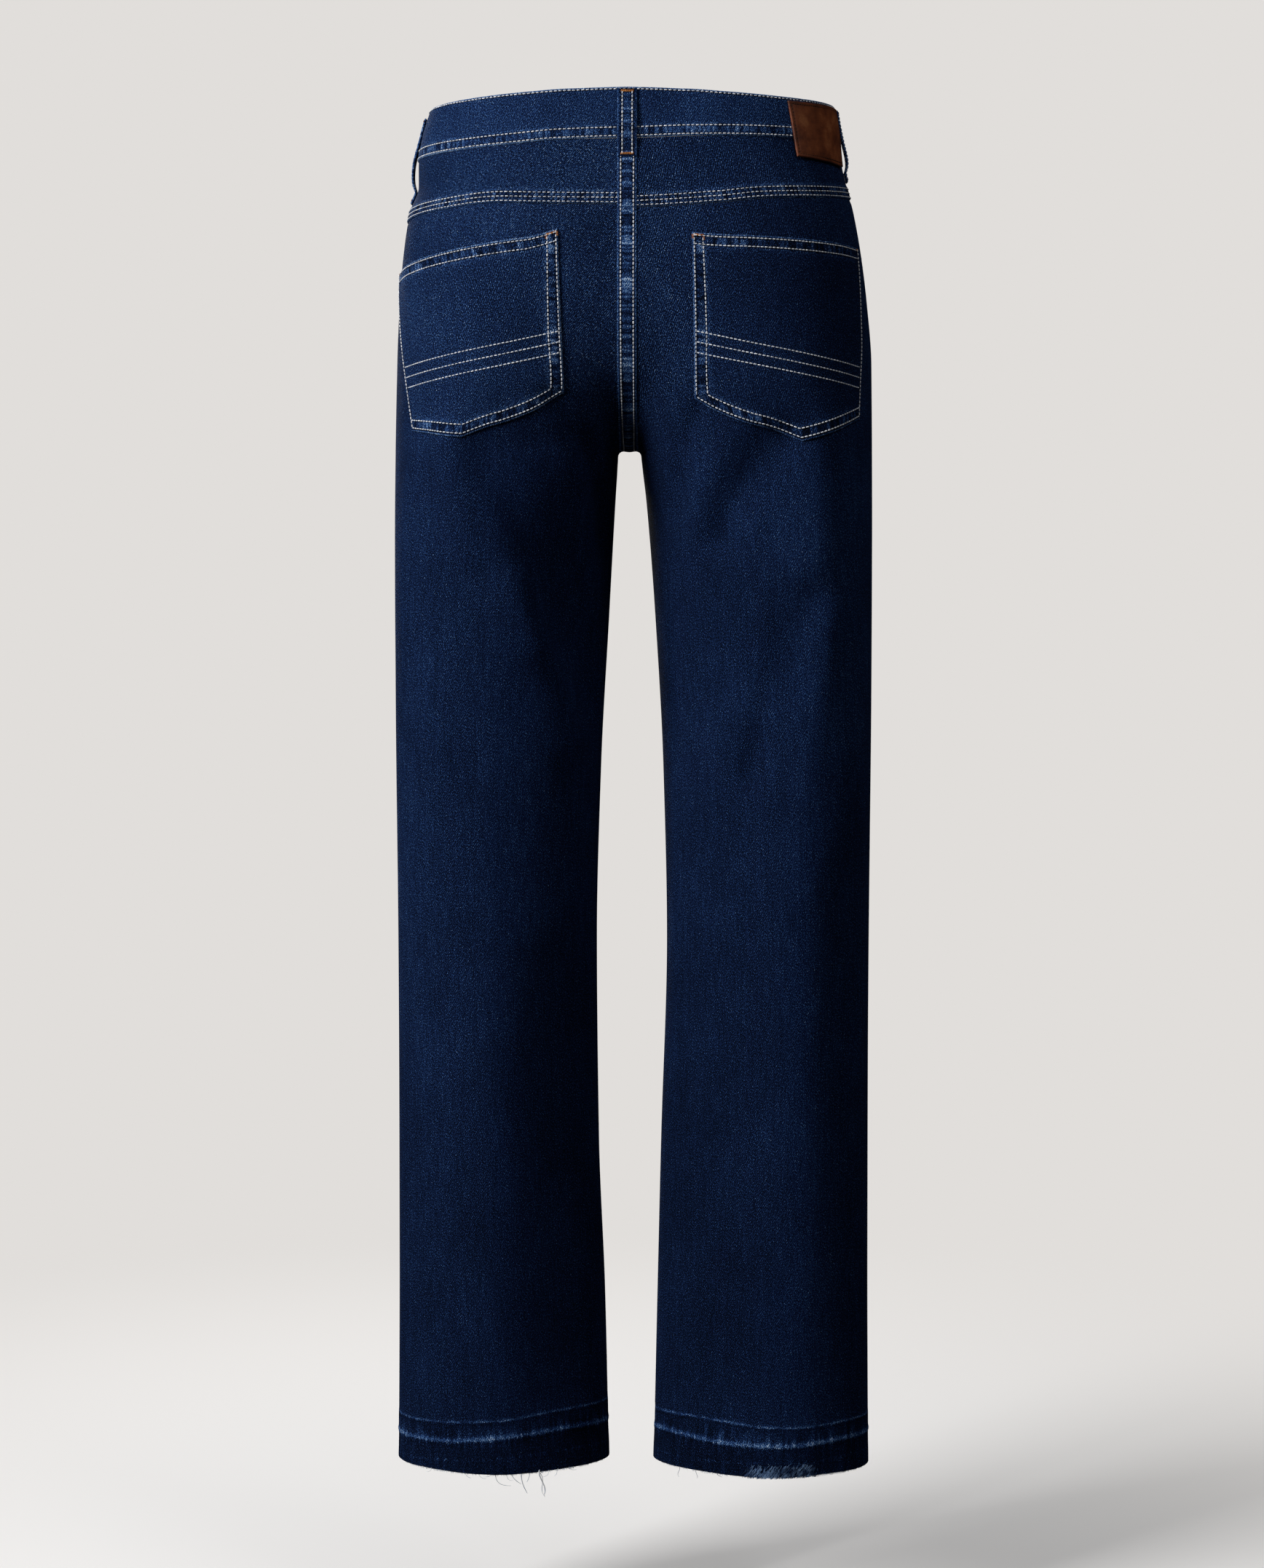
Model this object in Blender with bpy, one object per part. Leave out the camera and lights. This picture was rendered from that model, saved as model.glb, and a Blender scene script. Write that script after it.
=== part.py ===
"""Straight leg jeans, filled out as when worn but with nobody in them.

Metres, +Z up. The front faces -Y and the wearer's left is +X. The origin is the middle of
the waist, where a wearer holds the garment up. Every piece that a maker cuts is its own
closed wall of cloth, and neighbours keep a gap of 0.3 mm at their seams.

Each leg has a back and a front half. A point on a half is given by its level, the height z,
and by how far across it lies, from 0 at the side seam, through 0.5 where that half stands
out furthest, to 1 at the inner edge: the centre seam above the crotch, the inseam below.
"""

import bmesh
import bpy
import numpy as np
from mathutils import Vector

LEFT, RIGHT = 1, -1
BACK, FRONT = "back", "front"
MM = 0.001

CLOTH = 1.2 * MM
SEAM_GAP = 0.3 * MM
ON_TOP = 0.45 * MM

CROTCH_LEVEL = -248 * MM
CROTCH_Y = -6 * MM
FORK_HEIGHT = {BACK: 120 * MM, FRONT: 110 * MM}
BRIDGE_HALF_WIDTH = 9.2 * MM
BRIDGE_HEIGHT = 6 * MM
CLOSING_HEIGHT = 25 * MM
VALLEY_HEIGHT = 90 * MM
LEG_TOP_HEIGHT = 130 * MM
FORK_SOFTNESS = 10 * MM
DIP_BELOW_CROTCH = 30 * MM

WAIST_BLEND_LEVEL = -155 * MM
HEM_BLEND_LEVEL = -1000 * MM
HEM_LEVEL = {LEFT: -1065.5 * MM, RIGHT: -1066.3 * MM}
HEM_OUTER_RISE = {LEFT: 3 * MM, RIGHT: 0}


def table(columns, *rows):
    """One array a column, in metres from millimetres and in shares from thousandths, rising."""
    return dict(zip(columns.split(), np.array(rows, float)[::-1].T * MM))


# Half widths from the middle plane to each side, as seen from behind.
OUTER = table(
    "level left right",
    (20, 156.5, 161.0),
    (0, 162.5, 164.5),
    (-25, 167.0, 168.0),
    (-40, 167.0, 171.5),
    (-60, 174.0, 177.0),
    (-95, 179.5, 183.5),
    (-130, 182.5, 188.0),
    (-180, 184.5, 192.0),
    (-248, 185.5, 192.5),
    (-450, 186.5, 193.0),
    (-700, 186.5, 192.5),
    (-900, 187.0, 193.0),
    (-1070, 188.5, 194.5),
)

# From the middle plane to each leg's inseam.
INSEAM = table(
    "level left right",
    (-254, 9.2, 9.2),
    (-290, 11.5, 13.5),
    (-380, 16.5, 20.5),
    (-500, 23.0, 27.0),
    (-640, 26.5, 30.0),
    (-800, 25.0, 25.5),
    (-930, 20.0, 22.5),
    (-1070, 17.0, 19.5),
)

# Depths: y of the side seam, of the fullest line of each half, and of the centre seams.
DEPTH = table(
    "level side_y back_y back_full_x back_seam_y front_y front_full_x front_seam_y roundness",
    (20, -4, 96, 40, 96, -95, 48, -95, 2080),
    (-20, -4, 101, 50, 100, -100, 53, -100, 2080),
    (-60, -5, 109, 66, 107, -105, 61, -105, 2080),
    (-120, -6, 118, 83, 114, -109, 74, -108, 2080),
    (-180, -6, 121, 94, 115, -109, 86, -106, 2200),
    (-248, -5, 114, 100, 108, -104, 96, -98, 2600),
    (-320, -3, 103, 106, 103, -96, 106, -96, 2950),
    (-450, -2, 89, 114, 89, -82, 114, -82, 2900),
    (-650, -2, 74, 118, 74, -69, 118, -69, 2150),
    (-850, 0, 65, 115, 65, -61, 115, -61, 2080),
    (-1070, 2, 57, 111, 57, -55, 111, -55, 2080),
)

# Seams that run round the body, a level for each share of the way across a half.
SEAMS = {
    BACK: table(
        "across top_left top_right band_left band_right yoke_left yoke_right",
        (1000, 28.0, 28.0, -10.7, -10.7, -61.3, -64.0),
        (500, 26.8, 26.6, -12.2, -9.4, -60.8, -60.4),
        (400, 24.8, 24.6, -15.0, -9.0, -60.0, -56.8),
        (250, 22.0, 22.5, -18.0, -8.8, -63.4, -54.0),
        (0, 18.8, 21.5, -20.8, -12.0, -69.0, -50.3),
    ),
    FRONT: table(
        "across top_left top_right band_left band_right",
        (1000, 5.0, 5.0, -33.5, -33.5),
        (750, 6.0, 6.0, -32.5, -32.5),
        (500, 8.5, 9.0, -30.0, -29.0),
        (250, 14.0, 15.5, -25.0, -22.0),
        (0, 18.8, 21.5, -20.8, -12.0),
    ),
}
SIDE_NAME = {LEFT: "left", RIGHT: "right"}

# The largest folds: from and to, as share across and level, then half width and height.
FOLDS = {
    (BACK, LEFT): table(
        "from_across from_level to_across to_level width height",
        (400, -244, 760, -474, 26, 5.0),
        (560, -252, 860, -440, 22, -5.0),
        (640, -212, 900, -318, 12, -4.2),
        (700, -470, 800, -600, 30, 3.2),
        (560, -640, 540, -1000, 22, 2.6),
        (770, -660, 740, -1000, 30, -3.2),
    ),
    (BACK, RIGHT): table(
        "from_across from_level to_across to_level width height",
        (440, -240, 610, -318, 12, -4.4),
        (345, -240, 510, -450, 24, 3.6),
        (440, -368, 575, -480, 15, -3.6),
        (370, -385, 450, -500, 18, 2.0),
        (440, -560, 430, -1040, 24, 3.0),
        (250, -600, 240, -1000, 26, -1.6),
    ),
    (FRONT, LEFT): table(
        "from_across from_level to_across to_level width height",
        (900, -205, 420, -160, 15, -3.0),
        (930, -270, 500, -300, 18, -3.0),
        (300, -560, 780, -640, 26, -2.5),
    ),
    (FRONT, RIGHT): table(
        "from_across from_level to_across to_level width height",
        (880, -210, 380, -180, 15, -3.0),
        (940, -275, 560, -320, 18, -2.5),
        (260, -600, 800, -650, 28, -2.5),
    ),
}

# Width of a half laid flat, for measuring along it, and the nearest cut to a facet's corner.
CHART_WIDTH = 250 * MM
SNAP = 0.6 * MM

COLUMNS = {
    BACK: np.array([0, 50, 120, 200, 285, 370, 450, 530, 620, 710, 800, 880, 945, 1000]) / 1000,
    FRONT: np.array([0, 50, 100, 150, 200, 250, 300, 380, 500, 620, 740, 840, 930, 1000]) / 1000,
}
SHARES_ABOVE_BLEND = (0, 0.22, 0.45, 0.7)
PANEL_LEVELS = MM * np.array(
    [-155, -178, -200, -218, -232, -241, -248, -254, -262, -275, -295, -322, -358, -402, -450]
    + [-505, -560, -620, -680, -745, -810, -875, -940, -1000]
)

BAND_OUTSIDE, BAND_INSIDE = 0.9 * MM, -1.5 * MM
BAND_LAP = 18 * MM
BAND_LAP_RISE = 32 * MM
UNDERLAP_LIFT = 1 * MM
BAND_RAISED = BAND_OUTSIDE - BAND_INSIDE + SEAM_GAP

SCOOP_ACROSS = 0.30
SCOOP_SIDE_LEVEL = {LEFT: -98 * MM, RIGHT: -94 * MM}
SCOOP_POWER = 2.4
FACING_ACROSS = 0.38
FACING_BELOW_SCOOP = 12 * MM
FACING_BEHIND = 0.7 * MM

FLY_HALF_WIDTH = 20 * MM
FLY_BOTTOM = -135 * MM
FLY_DEPTH = 2.8 * MM

# Back pocket corners, share across and level: mouth outer and inner, foot inner, tip, foot outer.
POCKETS = {
    LEFT: (
        (0.050, -109.0 * MM), (0.631, -80.5 * MM), (0.681, -204.7 * MM),
        (0.431, -237.9 * MM), (0.248, -233.5 * MM),
    ),
    RIGHT: (
        (0.104, -90.7 * MM), (0.659, -83.1 * MM), (0.657, -209.1 * MM),
        (0.411, -241.5 * MM), (0.198, -224.2 * MM),
    ),
}
POCKET_CLOTH = 1.4 * MM

# Belt loops: name, half, side, share across, top level, foot level.
BELT_LOOPS = (
    ("belt_loop_centre", BACK, LEFT, 1.000, 26.5 * MM, -25.5 * MM),
    ("belt_loop_side_left", BACK, LEFT, 0.000, 13.0 * MM, -54.0 * MM),
    ("belt_loop_side_right", BACK, RIGHT, 0.000, 19.0 * MM, -37.0 * MM),
    ("belt_loop_front_left", FRONT, LEFT, 0.400, 8.5 * MM, -46.0 * MM),
    ("belt_loop_front_right", FRONT, RIGHT, 0.400, 8.5 * MM, -46.0 * MM),
)
LOOP_WIDTH = 15 * MM
LOOP_CLOTH = 1.8 * MM
LOOP_STAND = 3.2 * MM
LOOP_ROWS = 11
LOOP_SEWN_SHARE = 0.14

# Leather patch on the right of the back waistband, share across and level of its corners.
PATCH = ((0.047, 18.6 * MM), (0.269, 19.3 * MM), (0.271, -23.5 * MM), (0.076, -27.0 * MM))
PATCH_CHART_LEVELS = np.array([28, 8, -12, -32]) * MM
PATCH_LIFT = BAND_OUTSIDE + ON_TOP
PATCH_LEATHER = 1.5 * MM

BUTTON_RADIUS = 8.5 * MM
BUTTON_THICKNESS = 2.6 * MM
BUTTON_BEVEL = 0.8 * MM

# Frayed stretch of the left raw hem: from and to across the back, and reach below the hem.
FRAY_ACROSS = (0.500, 0.650)
FRAY_REACH = 23 * MM


def curve(at, columns, name, key="level"):
    """A smooth curve through the rows of one column, with no bulge between two rows."""
    x, y = columns[key], columns[name]
    step = np.diff(x)
    slope = np.diff(y) / step
    before, after = slope[:-1], slope[1:]
    same_way = before * after > 0
    total = np.where(same_way, before + after, 1)
    tangent = np.concatenate(
        [slope[:1], np.where(same_way, 2 * before * after / total, 0), slope[-1:]]
    )
    at = np.clip(at, x[0], x[-1])
    i = np.clip(np.searchsorted(x, at) - 1, 0, len(step) - 1)
    t = (at - x[i]) / step[i]
    return (
        (1 + 2 * t) * (1 - t) ** 2 * y[i]
        + t * (1 - t) ** 2 * step[i] * tangent[i]
        + t * t * (3 - 2 * t) * y[i + 1]
        + t * t * (t - 1) * step[i] * tangent[i + 1]
    )


def ease(share):
    """0 to 1 with level ends."""
    share = np.clip(share, 0, 1)
    return share * share * (3 - 2 * share)


def mix(a, b, share):
    return a + (b - a) * share


def section(across, level, half, side):
    """The point of a half at a level.

    From the side seam to the fullest line runs a quarter of a rounded ellipse. From there
    to the inner edge runs a cubic curve: level with the seat at the top, sinking between
    the legs near the crotch, and closing each leg into a ring below it.
    """
    across, level = np.broadcast_arrays(np.asarray(across, float), np.asarray(level, float))
    name = SIDE_NAME[side]
    above = level - CROTCH_LEVEL
    outer_x = curve(level, OUTER, name)
    side_y = curve(level, DEPTH, "side_y")
    full_y = curve(level, DEPTH, half + "_y")
    full_x = curve(level, DEPTH, half + "_full_x")
    seam_y = curve(level, DEPTH, half + "_seam_y")

    risen = np.clip(above / FORK_HEIGHT[half], 0, 1)
    end_y = mix(CROTCH_Y, seam_y, np.sqrt(1 - (1 - risen) ** 2))
    arch = np.clip(1 + above / BRIDGE_HEIGHT, 0, 1)
    arch_x = BRIDGE_HALF_WIDTH * np.cbrt(1 - arch**3)
    end_x = np.where(above > 0, 0, np.where(arch > 0, arch_x, curve(level, INSEAM, name)))

    turn = np.clip(across / 0.5, 0, 1) * np.pi / 2
    roundness = curve(level, DEPTH, "roundness")
    out_x = mix(full_x, outer_x, np.cos(turn) ** (2 / roundness))
    out_y = mix(side_y, full_y, np.sin(turn) ** (2 / roundness))

    flat = ease(risen)
    closed = ease(-above / CLOSING_HEIGHT)
    # Between the seats the valley is narrowest at the crotch, so the cloth beside it hangs
    # straight down from the seat into the leg.
    narrow = 1 - ease(np.where(above > 0, above / VALLEY_HEIGHT, -above / LEG_TOP_HEIGHT))
    inner_x = np.where(above > 0, mix(BRIDGE_HALF_WIDTH, 0, flat), curve(level, INSEAM, name))
    first_x = mix(full_x, inner_x, mix(mix(0.46, 0.40, flat), 0.82, narrow))
    second_x = mix(mix(1.5 * BRIDGE_HALF_WIDTH, 0.45 * full_x, flat), inner_x, closed)
    # The fork's arch ends softly, so that the crotch makes no crease in the cloth beside it.
    soft_above = (above + np.hypot(above, 2 * FORK_SOFTNESS)) / 2
    soft_risen = np.clip(soft_above / FORK_HEIGHT[half], 0, 1)
    arch_y = mix(CROTCH_Y, seam_y, np.sqrt(1 - (1 - soft_risen) ** 2))
    ring_y = mix(CROTCH_Y, full_y, 0.44)
    second_y = (arch_y + ring_y + np.sign(full_y) * np.hypot(arch_y - ring_y, 8 * MM)) / 2
    inner_y = mix(arch_y, CROTCH_Y, ease(-above / (2 * CLOSING_HEIGHT)))
    t = np.clip((across - 0.5) / 0.5, 0, 1)
    b = (1 - t) ** 3, 3 * t * (1 - t) ** 2, 3 * t * t * (1 - t), t**3
    in_x = b[0] * full_x + b[1] * first_x + b[2] * second_x + b[3] * inner_x
    in_y = (b[0] + b[1]) * full_y + b[2] * second_y + b[3] * inner_y
    # Only the last few millimetres turn in to the seam itself.
    in_x = in_x + t**12 * (end_x - inner_x)
    in_y = in_y + t**12 * (end_y - inner_y)

    outside = across < 0.5
    x = side * np.where(outside, out_x, in_x)
    return np.stack([x, np.where(outside, out_y, in_y), level], axis=-1)


def dipped(across, level, half):
    """Rows of cloth bend down near the crotch, so that they meet the fork squarely."""
    above = level - CROTCH_LEVEL
    fork = FORK_HEIGHT[half]
    turn = np.pi / 2 * (1 - np.clip(above / fork, 0, 1))
    along_fork = fork * (1 - np.sin(turn))
    below = -(above**2) / DIP_BELOW_CROTCH
    inner = np.where(above > 0, along_fork, np.where(above > -DIP_BELOW_CROTCH, below, above))
    inner = np.where(above >= fork, above, inner)
    return CROTCH_LEVEL + mix(above, inner, ease((across - 0.5) / 0.5))


def across_and_down(point_of, across, level):
    """Unit normals of a surface, from its slopes across and down."""
    step = 2e-4
    right = point_of(np.clip(across + step, 0, 1), level) - point_of(
        np.clip(across - step, 0, 1), level
    )
    down = point_of(across, level - step) - point_of(across, level + step)
    normal = np.cross(right, down)
    return normal / np.linalg.norm(normal, axis=-1, keepdims=True)


def outward(point_of, across, level, half, side):
    """Unit normals that point out of the garment, square to the seams at a half's edges."""
    normal = across_and_down(point_of, across, level)
    normal *= side if half == FRONT else -side
    at_side = across <= 0
    at_inner = across >= 1
    in_fork = point_of(across, level)[..., 2] >= CROTCH_LEVEL - 1e-9
    normal[at_side | (at_inner & ~in_fork), 1] = 0
    normal[at_inner & in_fork, 0] = 0
    at_crotch = at_inner & (np.abs(level - CROTCH_LEVEL) < 1e-9)
    normal[at_crotch] = (0, 0, -1)
    return normal / np.linalg.norm(normal, axis=-1, keepdims=True)


def fold_height(across, level, half, side):
    """How far the folds push the cloth out: each is a soft ridge or trough round a line."""
    folds = FOLDS[half, side]
    point = np.stack([across * CHART_WIDTH, level], axis=-1)
    height = np.zeros(across.shape)
    for i in range(len(folds["height"])):
        start = np.array([folds["from_across"][i] * CHART_WIDTH, folds["from_level"][i]])
        end = np.array([folds["to_across"][i] * CHART_WIDTH, folds["to_level"][i]])
        line = end - start
        share = np.clip((point - start) @ line / (line @ line), 0, 1)
        away = np.linalg.norm(point - start - share[..., None] * line, axis=-1)
        height = height + folds["height"][i] * np.exp(-((away / folds["width"][i]) ** 2))
    return height * ease(across / 0.15) * ease((1 - across) / 0.12)


def skin(across, level, half, side, lift=0.0, dip=False):
    """Points at a distance outside the cloth's outer face. dip bends the rows at the crotch."""
    across, level = np.broadcast_arrays(np.asarray(across, float), np.asarray(level, float))

    def point_of(u, v):
        return section(u, dipped(u, v, half) if dip else v, half, side)

    point = point_of(across, level)
    normal = outward(point_of, across, level, half, side)
    out = np.asarray(fold_height(across, point[..., 2], half, side) + lift)
    return point + normal * out[..., None]


def seam(name, across, half, side):
    """The level of a seam that runs round the body."""
    return curve(across, SEAMS[half], f"{name}_{SIDE_NAME[side]}", key="across")


def hem(across, side, half):
    """The level of a raw hem, a little higher at the outer side of the left leg."""
    level = HEM_LEVEL[side]
    x = np.abs(section(across, level, half, side)[..., 0])
    middle = (curve(level, OUTER, SIDE_NAME[side]) + curve(level, INSEAM, SIDE_NAME[side])) / 2
    return level + HEM_OUTER_RISE[side] * np.maximum(x - middle, 0) / middle


def scoop(across, side):
    """The level of a front pocket's opening, from the side seam up to the waistband."""
    top = seam("band", across, FRONT, side)
    share = np.clip(across / SCOOP_ACROSS, 0, 1)
    return mix(SCOOP_SIDE_LEVEL[side], top, share**SCOOP_POWER)


def drawn_in(points, amount=SEAM_GAP / 2):
    """The grid with each edge moved towards its neighbouring row or column."""
    points = points.copy()
    for edge, inner in ((0, 1), (-1, -2)):
        for view in (points, points.swapaxes(0, 1)):
            way = view[inner] - view[edge]
            view[edge] += amount * way / np.linalg.norm(way, axis=-1, keepdims=True)
    return points


def grid_faces(rows, columns):
    """Triangles over a grid."""
    index = np.arange(rows * columns).reshape(rows, columns)
    a, b = index[:-1, :-1].ravel(), index[:-1, 1:].ravel()
    c, d = index[1:, 1:].ravel(), index[1:, :-1].ravel()
    return np.concatenate([np.stack([a, b, c], axis=1), np.stack([a, c, d], axis=1)])


def rim_edges(faces):
    """The edges that only one triangle has, in the direction of that triangle."""
    edges = np.concatenate([faces[:, [0, 1]], faces[:, [1, 2]], faces[:, [2, 0]]])
    ends = np.sort(edges, axis=1)
    _, first, count = np.unique(ends, axis=0, return_index=True, return_counts=True)
    return edges[first[count == 1]]


def wall(name, outer, inner, material, faces=None):
    """A closed wall between an outer and an inner face that share their triangles."""
    if faces is None:
        faces = grid_faces(*outer.shape[:2])
    outer, inner = outer.reshape(-1, 3), inner.reshape(-1, 3)
    size = len(outer)
    start, end = rim_edges(faces).T
    faces = np.concatenate(
        [
            faces,
            faces[:, ::-1] + size,
            np.stack([end, start, start + size], axis=1),
            np.stack([end, start + size, end + size], axis=1),
        ]
    )
    points = np.concatenate([outer, inner])
    a, b, c = (points[faces[:, i]] - points.mean(axis=0) for i in range(3))
    if np.einsum("ij,ij->", a, np.cross(b, c)) < 0:
        faces = faces[:, ::-1]
    mesh = bpy.data.meshes.new(name)
    mesh.from_pydata(points.tolist(), [], faces.tolist())
    mesh.shade_smooth()
    mesh.set_sharp_from_angle(angle=np.radians(40))
    piece = bpy.data.objects.new(name, mesh)
    bpy.context.scene.collection.objects.link(piece)
    mesh.materials.append(material)
    return piece


def cloth(name, across, level, half, side, material, outside=0.0, inside=-CLOTH, dip=False):
    """A wall of cloth over a grid of shares across and levels, drawn in at its edges."""
    faces = [drawn_in(skin(across, level, half, side, lift, dip)) for lift in (outside, inside)]
    return wall(name, faces[0], faces[1], material)


def applied(name, across, level, half, side, material, outline, lift, thickness, dip=False):
    """A piece that lies on a panel: the panel's own facets, cut to an outline and moved out.

    The facets are cut in a flat chart of share across and level. Each corner carries its
    place on the garment and the outward direction there, and the cuts share these out.
    """
    across, level = np.broadcast_arrays(across, level)
    place = skin(across, level, half, side, dip=dip).reshape(-1, 3)
    away = skin(across, level, half, side, 1.0, dip=dip).reshape(-1, 3) - place
    chart = np.stack([across.ravel() * CHART_WIDTH, place[:, 2]], axis=1)

    flat = bmesh.new()
    place_of = flat.verts.layers.float_vector.new("place")
    away_of = flat.verts.layers.float_vector.new("away")
    corners = []
    for i in range(len(place)):
        corner = flat.verts.new((*chart[i], 0))
        corner[place_of] = place[i]
        corner[away_of] = away[i]
        corners.append(corner)
    for face in grid_faces(*across.shape):
        flat.faces.new([corners[i] for i in face])

    ends = [Vector((u * CHART_WIDTH, v, 0)) for u, v in outline]
    middle = sum(ends, Vector()) / len(ends)
    for start, end in zip(ends, ends[1:] + ends[:1]):
        edge = end - start
        out = Vector((edge.y, -edge.x, 0)).normalized()
        if out.dot(middle - start) > 0:
            out = -out
        everything = list(flat.verts) + list(flat.edges) + list(flat.faces)
        bmesh.ops.bisect_plane(
            flat, geom=everything, dist=SNAP, plane_co=start, plane_no=out, clear_outer=True
        )
    bmesh.ops.triangulate(flat, faces=list(flat.faces))
    flat.verts.index_update()
    faces = np.array([[corner.index for corner in face.verts] for face in flat.faces])
    place = np.array([corner[place_of][:] for corner in flat.verts])
    away = np.array([corner[away_of][:] for corner in flat.verts])
    flat.free()
    return wall(
        name, place + away * (lift + thickness), place + away * lift, material, faces
    )


def clear_scene():
    for item in list(bpy.data.objects):
        bpy.data.objects.remove(item, do_unlink=True)


def make_material(name, colour, roughness, metallic=0.0):
    material = bpy.data.materials.new(name)
    material.use_nodes = True
    shader = material.node_tree.nodes["Principled BSDF"]
    shader.inputs["Base Color"].default_value = (*colour, 1)
    shader.inputs["Roughness"].default_value = roughness
    shader.inputs["Metallic"].default_value = metallic
    material.diffuse_color = (*colour, 1)
    return material


def panel_levels(across, top, side, half):
    """Levels of a leg panel's grid: fitted to its top edge, level below, fitted to the hem."""
    shares = np.array(SHARES_ABOVE_BLEND)[:, None]
    upper = mix(top[None, :], WAIST_BLEND_LEVEL, shares)
    middle = np.repeat(PANEL_LEVELS[:, None], len(across), axis=1)
    return np.concatenate([upper, middle, hem(across, side, half)[None, :]])


def panel_grid(half, side):
    """Shares across and levels over a leg panel."""
    across = COLUMNS[half]
    top = seam("yoke", across, BACK, side) if half == BACK else scoop(across, side)
    return across[None, :], panel_levels(across, top, side, half)


def make_panels(denim):
    for side, name in SIDE_NAME.items():
        for half in (BACK, FRONT):
            across, level = panel_grid(half, side)
            cloth(f"{half}_{name}", across, level, half, side, denim, dip=True)


def make_yokes(denim):
    across = COLUMNS[BACK]
    for side, name in SIDE_NAME.items():
        top = seam("band", across, BACK, side)
        foot = seam("yoke", across, BACK, side)
        level = mix(top[None, :], foot[None, :], np.linspace(0, 1, 5)[:, None])
        cloth(f"yoke_{name}", across[None, :], level, BACK, side, denim)


def make_facings(denim):
    """The cloth that shows below each front pocket's opening, sewn in behind the front."""
    across = COLUMNS[FRONT][COLUMNS[FRONT] <= FACING_ACROSS]
    for side, name in SIDE_NAME.items():
        top = seam("band", across, FRONT, side)
        foot = scoop(across * SCOOP_ACROSS / FACING_ACROSS, side) - FACING_BELOW_SCOOP
        level = mix(top[None, :], foot[None, :], np.linspace(0, 1, 6)[:, None])
        outside = -CLOTH - FACING_BEHIND
        cloth(
            f"front_pocket_facing_{name}", across[None, :], level, FRONT, side, denim,
            outside, outside - CLOTH,
        )


def ring_stations():
    """The waistband's stations: half, side and share across, from one lap end to the other."""
    back, front = COLUMNS[BACK], COLUMNS[FRONT]
    return (
        (FRONT, RIGHT, front[:0:-1]),
        (BACK, RIGHT, back[:-1]),
        (BACK, LEFT, back[::-1]),
        (FRONT, LEFT, front[1:]),
    )


def make_waistband(denim):
    """One strip all round. Its left front end laps over the right one at the button."""
    rows = np.linspace(0, 1, 3)[:, None]
    outer, inner = [], []
    for half, side, across in ring_stations():
        top, foot = seam("top", across, half, side), seam("band", across, half, side)
        level = mix(top[None, :], foot[None, :], rows)
        for grids, lift in ((outer, BAND_OUTSIDE), (inner, BAND_INSIDE)):
            grids.append(skin(across[None, :], level, half, side, lift))
    outer, inner = np.concatenate(outer, axis=1), np.concatenate(inner, axis=1)

    # Both ends run on past the middle, and the left one is raised by the band's thickness.
    def lengthened(grid):
        first, last = grid[:, :1].copy(), grid[:, -1:].copy()
        first[..., 0] += BAND_LAP
        last[..., 0] -= BAND_LAP
        first[..., 2] += UNDERLAP_LIFT
        grid = np.concatenate([first, grid, last], axis=1)
        rise = ease((BAND_LAP_RISE - grid[..., 0]) / (BAND_LAP_RISE - BAND_LAP))
        is_left_front = np.arange(grid.shape[1]) > grid.shape[1] // 2
        raised = rise * is_left_front * (grid[..., 1] < 0) * (grid[..., 0] < BAND_LAP_RISE)
        grid[..., 1] -= BAND_RAISED * raised
        return grid

    wall("waistband", drawn_in(lengthened(outer)), drawn_in(lengthened(inner)), denim)


def make_pockets(denim):
    for side, name in SIDE_NAME.items():
        across, level = panel_grid(BACK, side)
        applied(
            f"back_pocket_{name}", across, level, BACK, side, denim,
            POCKETS[side], ON_TOP, POCKET_CLOTH, dip=True,
        )


def make_patch(leather):
    level = PATCH_CHART_LEVELS[:, None]
    applied(
        "leather_patch", COLUMNS[BACK][None, :], level, BACK, RIGHT, leather,
        PATCH, PATCH_LIFT, PATCH_LEATHER,
    )


def make_belt_loops(denim):
    """Each loop is a strip, sewn down at both ends and standing off in between."""
    for name, half, side, across, top, foot in BELT_LOOPS:
        share = np.linspace(0, 1, LOOP_ROWS)
        level = mix(top, foot, share)
        along = np.full(LOOP_ROWS, across)
        seat = mix(BAND_OUTSIDE + ON_TOP, ON_TOP, ease((share - 0.55) / 0.35))
        free = np.clip((share - LOOP_SEWN_SHARE) / (1 - 2 * LOOP_SEWN_SHARE), 0, 1)
        under = seat + LOOP_STAND * np.sin(np.pi * free) ** 0.7
        line = skin(along, level, half, side)
        normal = skin(along, level, half, side, 1.0) - line
        sideways = np.cross(normal, (0, 0, 1))
        sideways /= np.linalg.norm(sideways, axis=-1, keepdims=True)
        reach = np.array([-0.5, 0, 0.5]) * LOOP_WIDTH
        strip = line[:, None] + reach[None, :, None] * sideways[:, None]
        faces = [
            strip + normal[:, None] * (under + d)[:, None, None] for d in (LOOP_CLOTH, 0)
        ]
        wall(name, faces[0], faces[1], denim)


def make_fly_guard(denim):
    """The strip behind the zip, which closes the front from the waistband down."""
    level = np.linspace(-36 * MM, FLY_BOTTOM, 7)
    middle = skin(np.ones(7), level, FRONT, LEFT)
    x = np.linspace(-FLY_HALF_WIDTH, FLY_HALF_WIDTH, 5)
    grid = np.repeat(middle[:, None], 5, axis=1)
    grid[..., 0] = x[None, :]
    outer, inner = grid.copy(), grid.copy()
    outer[..., 1] += FLY_DEPTH
    inner[..., 1] += FLY_DEPTH + CLOTH
    wall("fly_guard", outer, inner, denim)


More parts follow.
